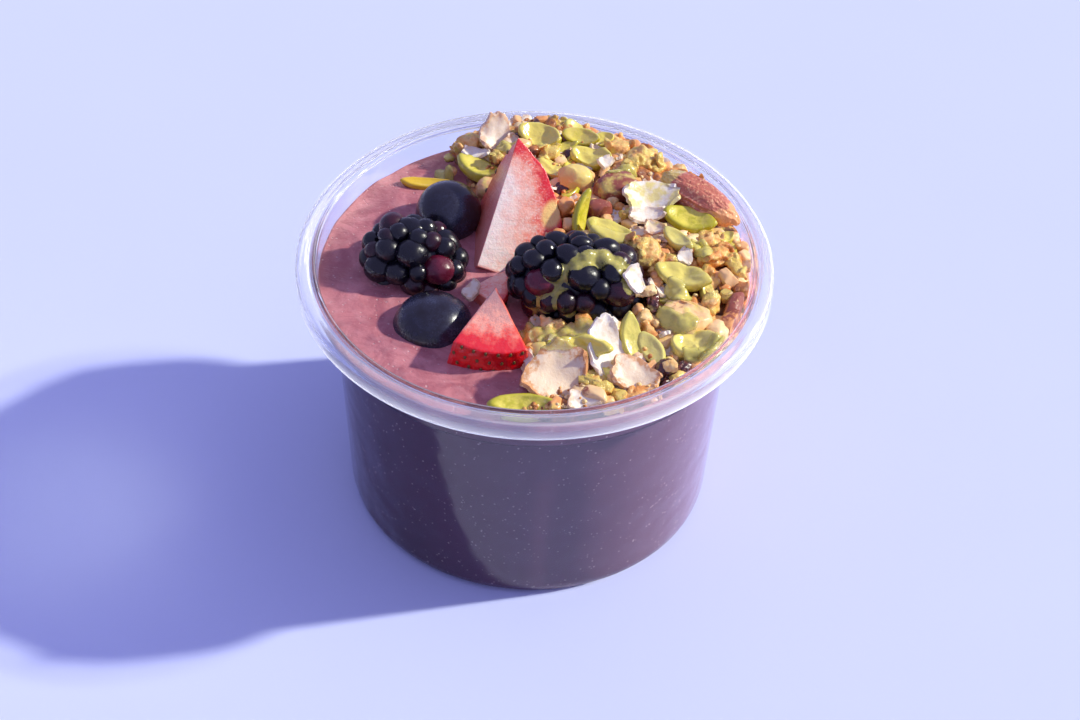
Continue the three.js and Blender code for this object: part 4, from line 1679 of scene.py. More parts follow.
@dataclass(frozen=True)
class BitShapes:
    """Makes the granola's pieces at their true sizes, in their own axes."""

    neck: float = 44.2
    tone_spread: float = 0.05
    coated: float = 0.4

    @staticmethod
    def roughen(
        piece: Piece, height: float, size: float, seed: int, octaves: int, sunk: float = 0,
    ) -> None:
        """Roughens a surface by noise, in millimetres.

        Args:
            piece: the piece.
            height: how strong the noise is.
            size: the size of its largest features.
            seed: which draw.
            octaves: how many layers it has.
            sunk: how much it is lowered, as a share of its height.
        """
        Bench.relief(
            piece, lambda places: height * MM * (rough_noise(places / MM, size, seed, octaves) - sunk))

    def make(self, bit: Bit, seed: int) -> Piece:
        """Makes one piece and sets it in its place.

        Args:
            bit: what it is.
            seed: which draw of its unevenness.

        Returns:
            The piece.
        """
        shapes = {
            Kind.SEED: self.seed, Kind.FLAKE: self.flake, Kind.NUT: self.nut,
            Kind.RAISIN: self.raisin, Kind.CLUSTER: partial(self.cluster, voxel=bit.voxel)}
        piece = shapes[bit.kind](bit.size, seed)
        tone = bit.tone + random.Random(seed).uniform(-self.tone_spread, self.tone_spread)
        Bench.mark(piece, tone=tone, glaze=bit.glaze)
        if bit.kind is Kind.SEED and bit.glaze > self.coated:
            self.roughen(piece, 0.5 * bit.glaze, 2.2, seed, 3, 0.2)
        if bit.kind is Kind.NUT:
            places = Bench.points(piece) / (Vector(bit.size).length * MM)
            Bench.mark(piece, skin=bit.skin + 0.35 * lattice_noise(places + seed, 0.4, seed))
        piece.data.transform(bit.place)

        def held(places: Points) -> Points:
            """Keeps the points within the neck.

            Args:
                places: the piece's points, in metres.

            Returns:
                The moved points.
            """
            reach = np.hypot(places[:, 0], places[:, 1])
            share = np.minimum(1, self.neck * MM / np.maximum(reach, MM))
            return places * np.column_stack([share, share, np.ones(len(share))])

        Bench.reshape(piece, held)
        return piece

    def lump(
        self, size: Sequence[float], seed: int, boxy: float, rough: float, detail: int = 4,
    ) -> Piece:
        """Makes a rounded block with an uneven surface.

        Args:
            size: its size along X, Y and Z, in millimetres.
            seed: which draw.
            boxy: 2 for a ball, more for a block.
            rough: how uneven it is, as a share of its size.
            detail: how fine its mesh is.

        Returns:
            The block.
        """
        piece = Bench.even_ball("lump", detail)

        def shape(places: Points) -> Points:
            """Swells the ball to an uneven block.

            Args:
                places: the points of a ball of radius 1.

            Returns:
                The block's points, in metres.
            """
            norm = (np.abs(places) ** boxy).sum(axis=1) ** (1 / boxy)
            block = places / norm[:, None]
            uneven = rough_noise(block + seed, 0.8, seed, 4)
            return block * (1 + rough * (uneven - 0.9))[:, None] * np.array(size) * MM / 2

        Bench.reshape(piece, shape)
        return piece

    def seed(self, size: Sequence[float], seed: int) -> Piece:
        """Makes a hulled pumpkin seed: a dished lens with a raised edge.

        Args:
            size: its size along X, Y and Z, in millimetres.
            seed: which draw.

        Returns:
            The seed.
        """
        piece = Bench.ball("seed", 34, 22)
        dish = ((0, 0.45, 0.68, 0.82, 0.94, 1), (0.66, 0.68, 0.8, 0.82, 0.58, 0))
        length, width, thick = (side * MM / 2 for side in size)

        def shape(places: Points) -> Points:
            """Dishes the ball and narrows one end.

            Args:
                places: the points of a ball of radius 1.

            Returns:
                The seed's points, in metres.
            """
            x, y, z = places.T
            lens = np.sign(z) * np.interp(np.hypot(x, y), *dish)
            narrow = 1 - 0.38 * np.maximum(x, 0) ** 2 - 0.06 * np.maximum(-x, 0) ** 2
            warp = 0.16 * lattice_noise(places + seed, 1.1, seed)
            height = (lens + x * x + 0.6 * warp - 0.25) * thick
            return np.column_stack([x * length, y * width * narrow, height])

        Bench.mark(piece, edge=np.hypot(*Bench.points(piece)[:, :2].T))
        Bench.reshape(piece, shape)
        self.roughen(piece, 0.12, 1.7, seed, 3, 0.3)
        return piece

    def flake(self, size: Sequence[float], seed: int) -> Piece:
        """Makes a coconut shaving: a thin curled strip with a wavy, ragged edge.

        Args:
            size: its size along X, Y and Z, in millimetres.
            seed: which draw.

        Returns:
            The shaving.
        """
        piece = Bench.grid("flake", 22, 15, 2)
        length, width, thick = size
        plan = Bench.points(piece)[:, :2]
        Bench.mark(piece, edge=np.abs(plan).max(axis=1))

        def shape(places: Points) -> Points:
            """Curls the strip and frays its edge.

            Args:
                places: the points of a flat square, from -1 to 1.

            Returns:
                The shaving's points, in metres.
            """
            x, y, _ = places.T
            ragged = 0.1 * rough_noise(places + seed, 0.5, seed, 3)
            out = 1 + ragged * smoothstep(np.maximum(abs(x), abs(y)), 0.5, 1)
            taper = 1 - 0.24 * x - 0.14 * x * x
            wave = 0.09 * width * rough_noise(places + seed, 0.9, seed + 3, 2) * (0.4 + abs(y))
            curl = 0.12 * length * x * x + 0.05 * width * y * y
            out = out * (1 - 0.16 * (x * y) ** 2)
            return np.column_stack([x * out * length / 2, y * out * taper * width / 2, curl + wave]) * MM

        Bench.reshape(piece, shape)
        Bench.finish(piece, "SOLIDIFY", thickness=0.75 * thick * MM, offset=0.0)
        return piece

    def cluster(self, size: Sequence[float], seed: int, voxel: float = FINE) -> Piece:
        """Makes a toasted cluster: grains and oats baked on to a block.

        Args:
            size: its size along X, Y and Z, in millimetres.
            seed: which draw.
            voxel: how fine its mesh is, in millimetres.

        Returns:
            The cluster.
        """
        rng = random.Random(seed)
        parts = [self.lump([0.84 * side for side in size], seed, 3.6, 0.16, 3)]
        room = [max(0.1, side / 2 - 0.5) for side in size]
        for k in range(max(6, round(0.2 * size[0] * size[1] + 0.12 * size[0] * size[2]))):
            out = Vector([rng.gauss(0, 1) for _ in range(3)]).normalized()
            grain = [rng.uniform(1.6, 3.8), rng.uniform(1.3, 2.8), rng.uniform(0.6, 1.2)]
            block = max(abs(v) for v in out)
            place = Vector([v / block * r * 0.96 for v, r in zip(out, room)])
            part = self.lump(grain, seed + k, 3.4, 0.1, 2)
            tilt = out.to_track_quat("Z", "Y").to_matrix().to_4x4()
            loose = Euler([rng.uniform(-0.6, 0.6), rng.uniform(-0.6, 0.6), rng.uniform(0, TURN)])
            part.data.transform(Matrix.Translation(place * MM) @ tilt @ loose.to_matrix().to_4x4())
            parts.append(part)
        piece = Bench.join(parts, "cluster")
        Bench.remesh(piece, voxel * MM, 1)
        self.roughen(piece, 0.2, 0.8, seed, 2)
        half = np.array(size) * MM / 2
        Bench.reshape(piece, lambda places: np.clip(places, -half, half))
        return piece

    def nut(self, size: Sequence[float], seed: int) -> Piece:
        """Makes a nut or a piece broken from one.

        Args:
            size: its size along X, Y and Z, in millimetres.
            seed: which draw.

        Returns:
            The nut.
        """
        slab, large = max(size) > 11, max(size) > 6
        if slab:
            boxy, rough, detail, breaks = 4, 0.12, 5, 9
        elif large:
            boxy, rough, detail, breaks = 2.6, 0.08, 5, 3
        else:
            boxy, rough, detail, breaks = 3.2, 0.08, 4, 6
        piece = self.lump(size, seed, boxy, rough, detail)
        if slab:
            self.roughen(piece, 0.4, 2.4, seed, 4, 0.4)
        rng = random.Random(seed)
        for _ in range(breaks):
            out = Vector((rng.gauss(0, 1), rng.gauss(0, 1), rng.gauss(0.2, 0.6))).normalized()
            depth = rng.uniform(0.36, 0.46) * math.hypot(*(v * side for v, side in zip(out, size)))
            cut = out * depth * MM
            with Bench.editing(piece):
                bpy.ops.mesh.bisect(plane_co=cut, plane_no=out, use_fill=True, clear_outer=True)
        with Bench.editing(piece):
            bpy.ops.mesh.select_all(action="SELECT")
            bpy.ops.mesh.quads_convert_to_tris(quad_method="BEAUTY", ngon_method="BEAUTY")
        return piece

    def raisin(self, size: Sequence[float], seed: int) -> Piece:
        """Makes a raisin with deep folds.

        Args:
            size: its size along X, Y and Z, in millimetres.
            seed: which draw.

        Returns:
            The raisin.
        """
        piece = self.lump(size, seed, 2.2, 0.1, 5 if max(size) > 4.6 else 4)

        def folded(places: Points) -> Points:
            """Gives the depth of the folds."""
            folds = np.abs(lattice_noise(places / MM * np.array([0.6, 1, 1]), 1.3, seed))
            return -0.5 * MM * (1 - folds) ** 3

        Bench.relief(piece, folded)
        return piece


def surface_tree(pieces: Sequence[Piece]) -> BVHTree:
    """Gathers pieces' faces so that places on them can be found.

    Args:
        pieces: the pieces.

    Returns:
        Their faces.
    """
    corners, faces = [], []
    for piece in pieces:
        start = len(corners)
        corners += [tuple(row) for row in Bench.points(piece)]
        faces += [[start + k for k in face.vertices] for face in piece.data.polygons]
    return BVHTree.FromPolygons(corners, faces)


@dataclass(frozen=True)
class Drizzle:
    """A strand of nut butter: stops in plan, a width and a thickness, in millimetres."""

    name: str
    stops: Sequence[tuple[float, float]]
    width: float
    thick: float
    tone: float
    sunk: float = 0.25
    skin: float = 0.35
    stride: float = 0.35
    across: int = 13
    above: float = 12.0
    rounds: int = 3
    finish: NutButter = NutButter("nut_butter")

    def line(self, steps: int) -> Points:
        """Gives places along a smooth line through the stops.

        Args:
            steps: how many places.

        Returns:
            One row for each place.
        """
        stops = np.array(self.stops, float)
        share = np.linspace(0, len(stops) - 1, steps)
        line = np.column_stack([np.interp(share, range(len(stops)), column) for column in stops.T])
        for _ in range(self.rounds):
            line[1:-1] = (line[:-2] + 2 * line[1:-1] + line[2:]) / 4
        return line

    def depths(self, ground: BVHTree, places: Points, outward: Points) -> Points:
        """Gives how far the ground lies out from each place, in millimetres.

        Args:
            ground: the faces that are looked for.
            places: the places.
            outward: the direction outward at each of them.

        Returns:
            The distances.
        """
        found = np.zeros(len(places))
        for k, (place, out) in enumerate(zip(places, outward)):
            hit = ground.ray_cast(Vector(place + self.above * out) * MM, -Vector(out))
            found[k] = self.above - hit[3] / MM if hit[0] is not None else 0
        return found

    def build(self, ground: BVHTree, up: Callable[[Points], tuple[Points, Points]]) -> Piece:
        """Lays the strand on what is under it.

        Args:
            ground: the faces it lies on.
            up: gives places and outward directions, in millimetres, for places in plan.

        Returns:
            The strand.
        """
        length = np.linalg.norm(np.diff(np.array(self.stops, float), axis=0), axis=1).sum()
        steps = max(12, int(length / self.stride))
        line = self.line(steps)
        run = np.gradient(line, axis=0)
        run /= np.maximum(np.linalg.norm(run, axis=1), 1e-9)[:, None]
        side = np.column_stack([-run[:, 1], run[:, 0]])
        share = np.linspace(-1, 1, self.across)
        order = np.arange(steps)
        ends = np.sqrt(np.clip(np.minimum(order, order[::-1]) / 4, 0.05, 1))
        uneven = 1 + 0.22 * lattice_noise(in_plan(*line.T), 4, len(self.name))
        wide = self.width / 2 * ends * uneven
        plan = line[:, None, :] + side[:, None, :] * (wide[:, None] * share)[:, :, None]
        places, outward = up(plan.reshape(-1, 2))
        depth = self.depths(ground, places, outward).reshape(steps, self.across)
        for _ in range(self.rounds):
            padded = np.pad(depth, 1, mode="edge")
            beside = (padded[:-2, 1:-1] + padded[2:, 1:-1] + padded[1:-1, :-2] + padded[1:-1, 2:]) / 4
            depth = np.maximum(depth, beside)
        dome = np.sqrt(np.clip(1 - share**2, 0, 1))
        depth = depth + (self.thick * dome - self.sunk)[None, :] * ends[:, None]
        top = places + outward * depth.reshape(-1, 1)
        piece = Bench.grid(self.name, self.across - 1, steps - 1)
        Bench.reshape(piece, lambda _: top * MM)
        Bench.mark(piece, tone=self.tone * np.tile(1 - 0.7 * share**4, steps))
        Bench.finish(piece, "SOLIDIFY", thickness=self.skin * MM, offset=-1.0)
        with Bench.editing(piece):
            bpy.ops.mesh.normals_make_consistent(inside=False)
        return self.finish.on(piece)


S, F, C, N, R = Kind.SEED, Kind.FLAKE, Kind.CLUSTER, Kind.NUT, Kind.RAISIN

# The pieces that show: kind, place, lift, size, turns, tone, nut butter and skin.
BITS = [Bit(*row) for row in (
    # the back
    (F, (-9.6, 37.4), 3.0, (8.0, 6.6, 1.0), (88, -46, 20), 0.5, 0.2),
    (C, (-14.6, 37.4), 1.6, (8.0, 7.2, 6.2), 44, 0.32, 0.35),
    (R, (-19.4, 34.4), 1.0, (3.0, 2.6, 2.2), 20, 0, 0.7),
    (N, (-18.5, 30.1), 0.8, (2.4, 2.0, 2.0), 0, 0.6, 0.2),
    (S, (-12.3, 29.6), 1.2, (11.8, 5.6, 3.2), (-28, 4, 0), 0.1, 0.3),
    (F, (-13.4, 33.4), 2.6, (6.0, 2.6, 0.8), (-4, 0, 10), 0.1, 0.15),
    (C, (-8.7, 30.8), 2.2, (3.6, 3.2, 2.8), 10, 0.75, 0.5),
    (N, (-9.9, 22.8), 1.2, (6.6, 5.8, 5.4), -14, 0.6, 0.35),
    (S, (0.3, 36.4), 1.6, (10.2, 7.0, 3.6), (-22, 0, 20), 0.0, 0.75),
    (S, (9.0, 36.4), 1.6, (8.6, 4.4, 2.6), (-12, 0, 28), 0.0, 0.4),
    (S, (13.6, 36.8), 1.8, (5.2, 3.8, 2.4), (18, -8, 20), 0.0, 0.5),
    (S, (11.3, 29.9), 1.4, (9.6, 5.6, 3.4), (-12, 0, 14), 0.0, 0.9),
    (F, (14.2, 27.4), 2.4, (3.4, 2.8, 0.8), (40, 0, 18), 0.2, 0.2),
    (S, (3.1, 25.2), 1.2, (8.4, 4.8, 2.4), -40, 0.2, 0.6),
    (C, (2.6, 30.2), 1.6, (5.4, 4.6, 4.2), 12, 0.45, 0.7),
    (C, (21.6, 29.8), 1.6, (8.6, 6.8, 5.8), 23, 0.35, 0.45),
    (C, (17.2, 34.4), 1.4, (6.6, 5.6, 5.0), 3, 0.4, 0.4),
    (C, (18.6, 25.6), 2.0, (4.6, 4.2, 3.6), 30, 0.5, 0.6),
    (C, (25.2, 28.6), 1.4, (4.4, 4.0, 3.6), 60, 0.4, 0.6),
    (C, (29.6, 27.6), 1.4, (8.2, 3.4, 3.0), -28, 0.45, 0.2),
    # the middle
    (N, (16.6, 19.4), 1.8, (10.4, 7.6, 6.2), 16, 0.8, 0.35, 1.2),
    (N, (8.0, 22.0), 1.8, (8.0, 6.0, 6.0), 3, 0.2, 0.6),
    (F, (23.9, 15.4), 2.8, (12.0, 6.4, 1.1), (12, 0, 26), 0.1, 0.45),
    (F, (23.1, 10.8), 1.8, (8.2, 3.4, 0.9), (16, 0, 20), 0.2, 0.1),
    (F, (24.4, 6.2), 1.9, (4.6, 3.4, 0.9), (-10, 0, 16), 0.6, 0.3),
    (N, (13.1, 12.4), 1.2, (6.0, 4.6, 4.4), -12, 0.15, 0.1, 0.55),
    (C, (18.6, 11.0), 1.6, (3.4, 2.6, 2.2), 15, 0.75, 0.4),
    (N, (5.9, 12.9), 1.4, (4.2, 4.0, 4.4), -37, 0.9, 0.2),
    (N, (6.6, 8.3), 0.8, (2.6, 2.6, 2.6), 20, 0.5, 0.1),
    (S, (9.2, 9.5), 2.6, (11.4, 3.8, 1.9), (76, -42, 64), 0.0, 0.2),
    (S, (16.0, 4.3), 1.6, (12.8, 5.8, 3.0), (-24, 6, 10), 0.15, 0.45),
    (S, (31.8, 10.6), 1.9, (11.8, 6.2, 3.0), (-14, 4, 12), 0.0, 0.0),
    (S, (29.3, 2.6), 2.2, (8.4, 3.8, 2.8), (-46, 0, 12), 0.55, 0.4),
    (F, (30.6, -1.4), 2.4, (3.6, 3.0, 0.8), (70, -30, 20), 0.1, 0.2),
    (C, (22.3, -2.0), 1.8, (8.4, 8.4, 6.4), (0, 0, 30), 0.38, 0.4),
    (C, (18.9, -2.6), 2.4, (2.8, 2.4, 2.0), 25, 0.3, 0.2),
    (S, (30.2, -7.4), 2.1, (12.2, 6.4, 3.0), (-18, 0, 6), 0.3, 0.55),
    # against the neck on the right
    (C, (36.0, 4.6), 1.8, (6.2, 4.4, 4.0), 20, 0.4, 0.3),
    (S, (39.0, 6.4), 1.6, (4.6, 3.6, 2.6), 30, 0.0, 0.9),
    (C, (36.4, 0.2), 1.6, (10.2, 4.4, 4.0), (36, 8, 0), 0.5, 0.35),
    (C, (41.0, -1.8), 1.4, (6.4, 3.8, 3.6), -74, 0.45, 0.7),
    (N, (39.2, -5.6), 1.8, (5.2, 3.6, 3.8), -64, 0.45, 0.1),
    (N, (38.6, -8.4), 1.8, (2.4, 2.0, 2.0), 10, 0.95, 0.0),
    (C, (38.6, -10.8), 1.8, (3.4, 2.8, 2.6), 0, 0.65, 0.5),
    (C, (35.4, -13.4), 1.9, (7.6, 4.6, 4.2), 74, 0.3, 0.4),
    (N, (40.4, -13.0), 1.2, (9.4, 3.4, 4.2), 72, 0.5, 0.2, 0.6),
    (N, (39.6, -17.4), 1.4, (6.6, 4.4, 4.0), 58, 0.95, 0.0, 0.4),
    (N, (36.6, -20.6), 1.4, (5.2, 4.6, 4.2), 45, 0.15, 0.0),
    (N, (30.2, -17.8), 1.4, (11.8, 12.4, 5.6), (12, 4, 0), 0.3, 0.34),
    (R, (23.8, -13.4), 1.0, (3.4, 8.8, 3.6), 4, 0, 0.3),
    (S, (32.2, -24.6), 1.4, (10.6, 6.6, 4.4), (11, 0, 10), 0.7, 0.8),
    # the front
    (S, (19.6, -25.0), 2.2, (10.8, 4.8, 2.4), (104, -44, 12), 0.4, 0.2),
    (S, (23.8, -27.0), 1.3, (9.0, 4.6, 2.2), (-58, 14, 24), 0.6, 0.1),
    (R, (26.4, -31.4), 1.2, (5.6, 5.0, 4.6), 23, 0, 0.1),
    (R, (30.0, -29.8), 0.9, (5.0, 4.0, 4.0), 50, 0, 0.2),
    (C, (27.2, -32.4), 3.2, (2.8, 2.2, 2.0), 10, 0.3, 0.0),
    (F, (14.4, -28.4), 2.6, (12.6, 8.2, 1.0), (100, -36, 24), 0.0, 0.0),
    (F, (20.6, -34.0), 1.2, (10.0, 6.8, 1.0), (-14, 14, 14), 0.8, 0.0),
    (F, (5.4, -35.4), 2.2, (12.8, 12.2, 1.1), (66, -22, 22), 0.95, 0.16),
    (C, (21.4, -37.6), 0.8, (8.4, 2.8, 2.6), 24, 0.5, 0.1),
    (C, (11.4, -35.6), 1.0, (4.0, 3.4, 3.0), 0, 0.7, 0.6),
    (C, (14.4, -37.4), 1.2, (5.6, 3.0, 2.8), -30, 0.6, 0.6),
    (C, (17.2, -38.6), 1.0, (5.0, 3.2, 2.8), -38, 0.55, 0.5),
    (N, (12.8, -39.8), 1.2, (6.0, 3.4, 3.0), -20, 0.25, 0.2),
    (F, (10.6, -41.2), 1.0, (6.4, 4.2, 0.9), (-4, 0, 18), 0.5, 0.0),
    (C, (6.2, -41.6), 0.5, (3.2, 2.2, 2.0), 10, 0.7, 0.1),
    (S, (-1.0, -41.9), 0.9, (14.4, 5.4, 3.4), (2, 0, 34), 0.0, 0.0),
    (N, (1.6, -26.6), 1.0, (4.2, 3.4, 4.0), 8, 0.1, 0.9),
    (F, (-0.2, -28.9), 0.8, (5.0, 2.4, 0.8), (-76, 10, 40), 0.2, 0.1),
    (C, (35.2, 7.0), 0.8, (5.6, 5.0, 4.2), 30, 0.5, 0.5),
    (S, (10.4, -29.6), 4.4, (11.2, 4.4, 2.6), (-6, 0, 52), 0.0, 0.8),
)]

# Small pieces that fill in between: kind, size, how often, tones and nut butter.
FILLERS = [
    (C, (4.6, 3.8, 3.2), 5, (0.0, 0.75), (0.0, 0.5)),
    (N, (3.8, 3.0, 2.6), 4, (0.0, 0.9), (0.0, 0.3)),
    (S, (6.4, 3.6, 2.0), 1, (0.0, 0.6), (0.0, 0.2)),
    (F, (4.8, 3.2, 0.8), 3, (0.1, 0.8), (0.0, 0.3)),
    (R, (3.6, 3.2, 2.6), 1, (0.0, 0.0), (0.0, 0.2)),
]


# Nut butter over the granola, in plan, and over the right bramble: millimetres along it and,
# ten millimetres for each radian, round it. Each has its stops, width, thickness and tone.
HEAP_DRIZZLES = [
    Drizzle("drip_under_seed", ((27.4, -8.6), (28.6, -11.0), (29.6, -13.0), (30.0, -14.6)),
            4.4, 0.45, 0.7),
    Drizzle("slab_pool", ((25.3, -16.0), (26.9, -20.0), (29.7, -21.6), (32.6, -20.3)), 3.0, 0.4, 0.4),
    Drizzle("wall_film", ((29.9, -26.7), (32.8, -28.0), (35.0, -26.6), (37.6, -23.0)), 3.0, 0.4, 0.3),
    Drizzle("corner_drop", ((-21.6, 32.5), (-20.2, 30.2), (-18.8, 28.0)), 2.8, 0.6, 0.3),
    Drizzle("pool_front", ((-3.1, -18.7), (-0.7, -21.4), (4.1, -23.3), (9.5, -23.1), (14.6, -21.0)),
            5.0, 0.15, 0.3),
    Drizzle("flake_smear", ((1.8, -31.6), (4.8, -30.6), (8.8, -30.8)), 2.2, 0.12, 0.2),
    Drizzle("nut_smear", ((14.3, 21.3), (17.3, 24.0), (20.6, 23.8)), 3.4, 0.4, 0.4),
    Drizzle("back_smear", ((-9.2, 33.8), (-6.2, 33.0), (-3.2, 31.5)), 3.4, 0.5, 0.6),
    Drizzle("middle_drip", ((11.1, 4.4), (15.6, 2.8), (20.3, 2.2)), 3.0, 0.5, 0.8),
    Drizzle("right_smear", ((31.7, 4.0), (34.1, 1.8), (34.8, -2.3)), 3.0, 0.45, 0.6),
]
BERRY_DRIZZLES = [
    Drizzle("berry_drizzle", (
        (11.9, 24.6), (10.2, 19.8), (7.9, 17.4), (4.6, 17.1), (1.1, 19.2), (-2.1, 21.7)),
            4.4, 0.36, 0.28),
    Drizzle("berry_film", (
        (-1.1, 21.0), (-3.8, 24.1), (-4.4, 27.1), (-5.1, 30.0), (-7.1, 36.4), (-6.6, 39.5)),
            5.2, 0.24, 0.24),
    Drizzle("berry_drip", ((4.6, 17.1), (7.6, 18.4), (9.9, 21.1), (10.8, 25.9)), 3.6, 0.4, 0.3),
    Drizzle("berry_drip_front", ((-4.4, 27.1), (-2.4, 29.4), (-0.6, 32.3), (-0.6, 39.6)),
            3.0, 0.24, 0.24),
]


@dataclass
class GranolaHeap:
    """The crescent of granola: a core of crumbs with the loose pieces on it."""

    bits: Sequence[Bit]
    drizzles: Sequence[Drizzle]
    crumbs: int = 260
    filler_count: int = 330
    filler_gap: float = 1.9
    filler_voxel: float = 0.44
    filler_tries: int = 20
    base: float = 0.6
    shapes: BitShapes = BitShapes()
    grain: ToastedGrain = GRAIN

    def core(self) -> Piece:
        """Shapes a grid into the crescent and gives it depth and a relief of crumbs.

        Returns:
            The core.
        """
        piece = Bench.grid("granola_core", 84, 160)

        def laid(places: Points) -> Points:
            """Lays the grid's points on the crescent.

            Args:
                places: the points of a flat square, from -0.5 to 0.5.

            Returns:
                The moved points, in metres.
            """
            across, along = places[:, 0] + 0.5, places[:, 1] + 0.5
            even = along * 0.4 + 0.6 * (1 - np.cos(np.pi * along)) / 2
            x, y = INSIDE.heap_place(across, even)
            grains = 0.55 * rough_noise(in_plan(x, y), 2.6, 31, 3)
            sides = smoothstep(across, 0.05, 0.0) + smoothstep(across, 0.9, 1.0)
            sunk = 0.5 + 1.2 * sides + 1.6 * smoothstep(along, 0.94, 0.99)
            return np.column_stack([x, y, INSIDE.heap_top(x, y) + grains - sunk]) * MM

        Bench.reshape(piece, laid)
        with Bench.editing(piece):
            bpy.ops.mesh.extrude_region_move(TRANSFORM_OT_translate={"value": (0, 0, -20 * MM)})
            bpy.ops.mesh.select_all(action="SELECT")
            bpy.ops.mesh.normals_make_consistent(inside=False)

        def floored(places: Points) -> Points:
            """Sets the underside a little into the filling.

            Args:
                places: the core's points, in metres.

            Returns:
                The moved points.
            """
            x, y = places[:, 0] / MM, places[:, 1] / MM
            bottom = (INSIDE.filling_top(x, y) - self.base) * MM
            places[:, 2] = np.where(places[:, 2] < 50 * MM, bottom, places[:, 2])
            return places

        Bench.reshape(piece, floored)
        places = Bench.points(piece) / MM
        pool = np.linalg.norm((places - (4, -23, 58)) * (0.8, 1, 0), axis=1)
        glaze = 0.2 + 0.2 * lattice_noise(places, 6, 18) + 0.7 * smoothstep(pool, 8, 4)
        # Partly painted shade: the core is marked dark brown for the shaded gaps between the pieces.
        Bench.mark(piece, tone=0.78 + 0.25 * lattice_noise(places, 3.5, 8), glaze=glaze)
        return self.grain.on(piece)

    def fillers(self, toppings: BVHTree) -> list[Bit]:
        """Draws the small pieces that fill in between the larger ones.

        Args:
            toppings: the fruit that they keep clear of.

        Returns:
            The pieces.
        """
        rng = random.Random(11)
        weights = [often for _, _, often, _, _ in FILLERS]
        drawn = []
        for _ in range(self.filler_tries * self.filler_count):
            if len(drawn) == self.filler_count:
                break
            along = 0.5 + 0.5 * math.sin(rng.uniform(-1.45, 1.5))
            x, y = (float(v) for v in INSIDE.heap_place(rng.uniform(0.03, 0.99), along))
            kind, size, _, tones, glazes = rng.choices(FILLERS, weights)[0]
            size = tuple(side * rng.uniform(0.75, 1.3) for side in size)
            lift = rng.uniform(0.1, 0.7)
            place = Vector((x, y, INSIDE.heap_height(x, y) + lift)) * MM
            near, normal, _, distance = toppings.find_nearest(place)
            if distance < 0.4 * size[0] * MM or (place - near).dot(normal) < 0:
                continue
            kept = [(other.at, self.filler_gap) for other in drawn]
            kept += [(bit.at, 0.4 * max(bit.size[:2])) for bit in self.bits]
            if any(math.dist((x, y), at) < gap for at, gap in kept):
                continue
            turn = (rng.uniform(0, 360), rng.uniform(-25, 25), rng.uniform(-25, 25))
            tone, glaze = rng.uniform(*tones), rng.uniform(*glazes)
            drawn.append(Bit(kind, (x, y), lift, size, turn, tone, glaze, voxel=self.filler_voxel))
        return drawn

    def loose_crumbs(self, ground: BVHTree) -> Piece:
        """Scatters crumbs over everything that lies in the heap.

        Args:
            ground: what they fall on.

        Returns:
            The crumbs, joined.
        """
        rng = random.Random(5)
        patterns = [self.shapes.lump((2, 2, 2), seed, 2.4, 0.22, 2) for seed in range(3)]
        parts = []
        while len(parts) < self.crumbs:
            across = rng.uniform(0.0, 0.98)
            along = 0.5 + 0.5 * math.sin(rng.uniform(-1.5, 1.5))
            x, y = (float(v) for v in INSIDE.heap_place(across, along))
            spot = ground.ray_cast(Vector((x, y, 90)) * MM, Vector((0, 0, -1)))[0]
            size = rng.choice((0.28, 0.36, 0.45, 0.6))
            turns = (rng.uniform(0, 360) for _ in range(3))
            if spot is None or spot.z > (INSIDE.heap_height(x, y) + 1.6) * MM:
                continue
            pattern = rng.choice(patterns)
            part = Bench.copy(pattern, placement(spot / MM, *turns) @ Matrix.Scale(size, 4))
            Bench.mark(part, tone=rng.choice((0.05, 0.2, 0.4, 0.55, 0.7)), glaze=0.2)
            parts.append(part)
        Bench.discard(patterns)
        piece = Bench.join(parts, "granola_crumbs")
        return self.grain.on(piece)

    def build(self, toppings: Sequence[Piece], puree: Piece) -> list[Piece]:
        """Builds the core, the pieces of each kind, the crumbs and the nut butter.

        Args:
            toppings: fruit that the small pieces keep clear of.
            puree: what the heap lies on.

        Returns:
            Every piece of the heap.
        """
        finishes = {
            S: SeedSkin("pumpkin_seed_skin"), F: COCONUT, C: self.grain,
            N: NutFlesh("nut_flesh"), R: RaisinSkin("raisin_skin")}
        pieces = [self.core()]
        bits = [*self.bits, *self.fillers(surface_tree(toppings))]
        for kind, finish in finishes.items():
            made = [self.shapes.make(bit, 10 + 7 * k) for k, bit in enumerate(bits) if bit.kind is kind]
            joined = Bench.join(made, kind.value)
            pieces.append(finish.on(joined, 180 if kind in (S, R) else CRISP))
        pieces.append(self.loose_crumbs(surface_tree(pieces)))
        ground = surface_tree([*pieces, puree])

        def over(plan: Points) -> tuple[Points, Points]:
            """Gives places above the heap and the way up."""
            base = np.column_stack([plan, np.full(len(plan), 62.0)])
            return base, np.tile([0.0, 0.0, 1.0], (len(plan), 1))

        pieces += [drizzle.build(ground, over) for drizzle in self.drizzles]
        return pieces


# ------------------------------------------------------------------ studio


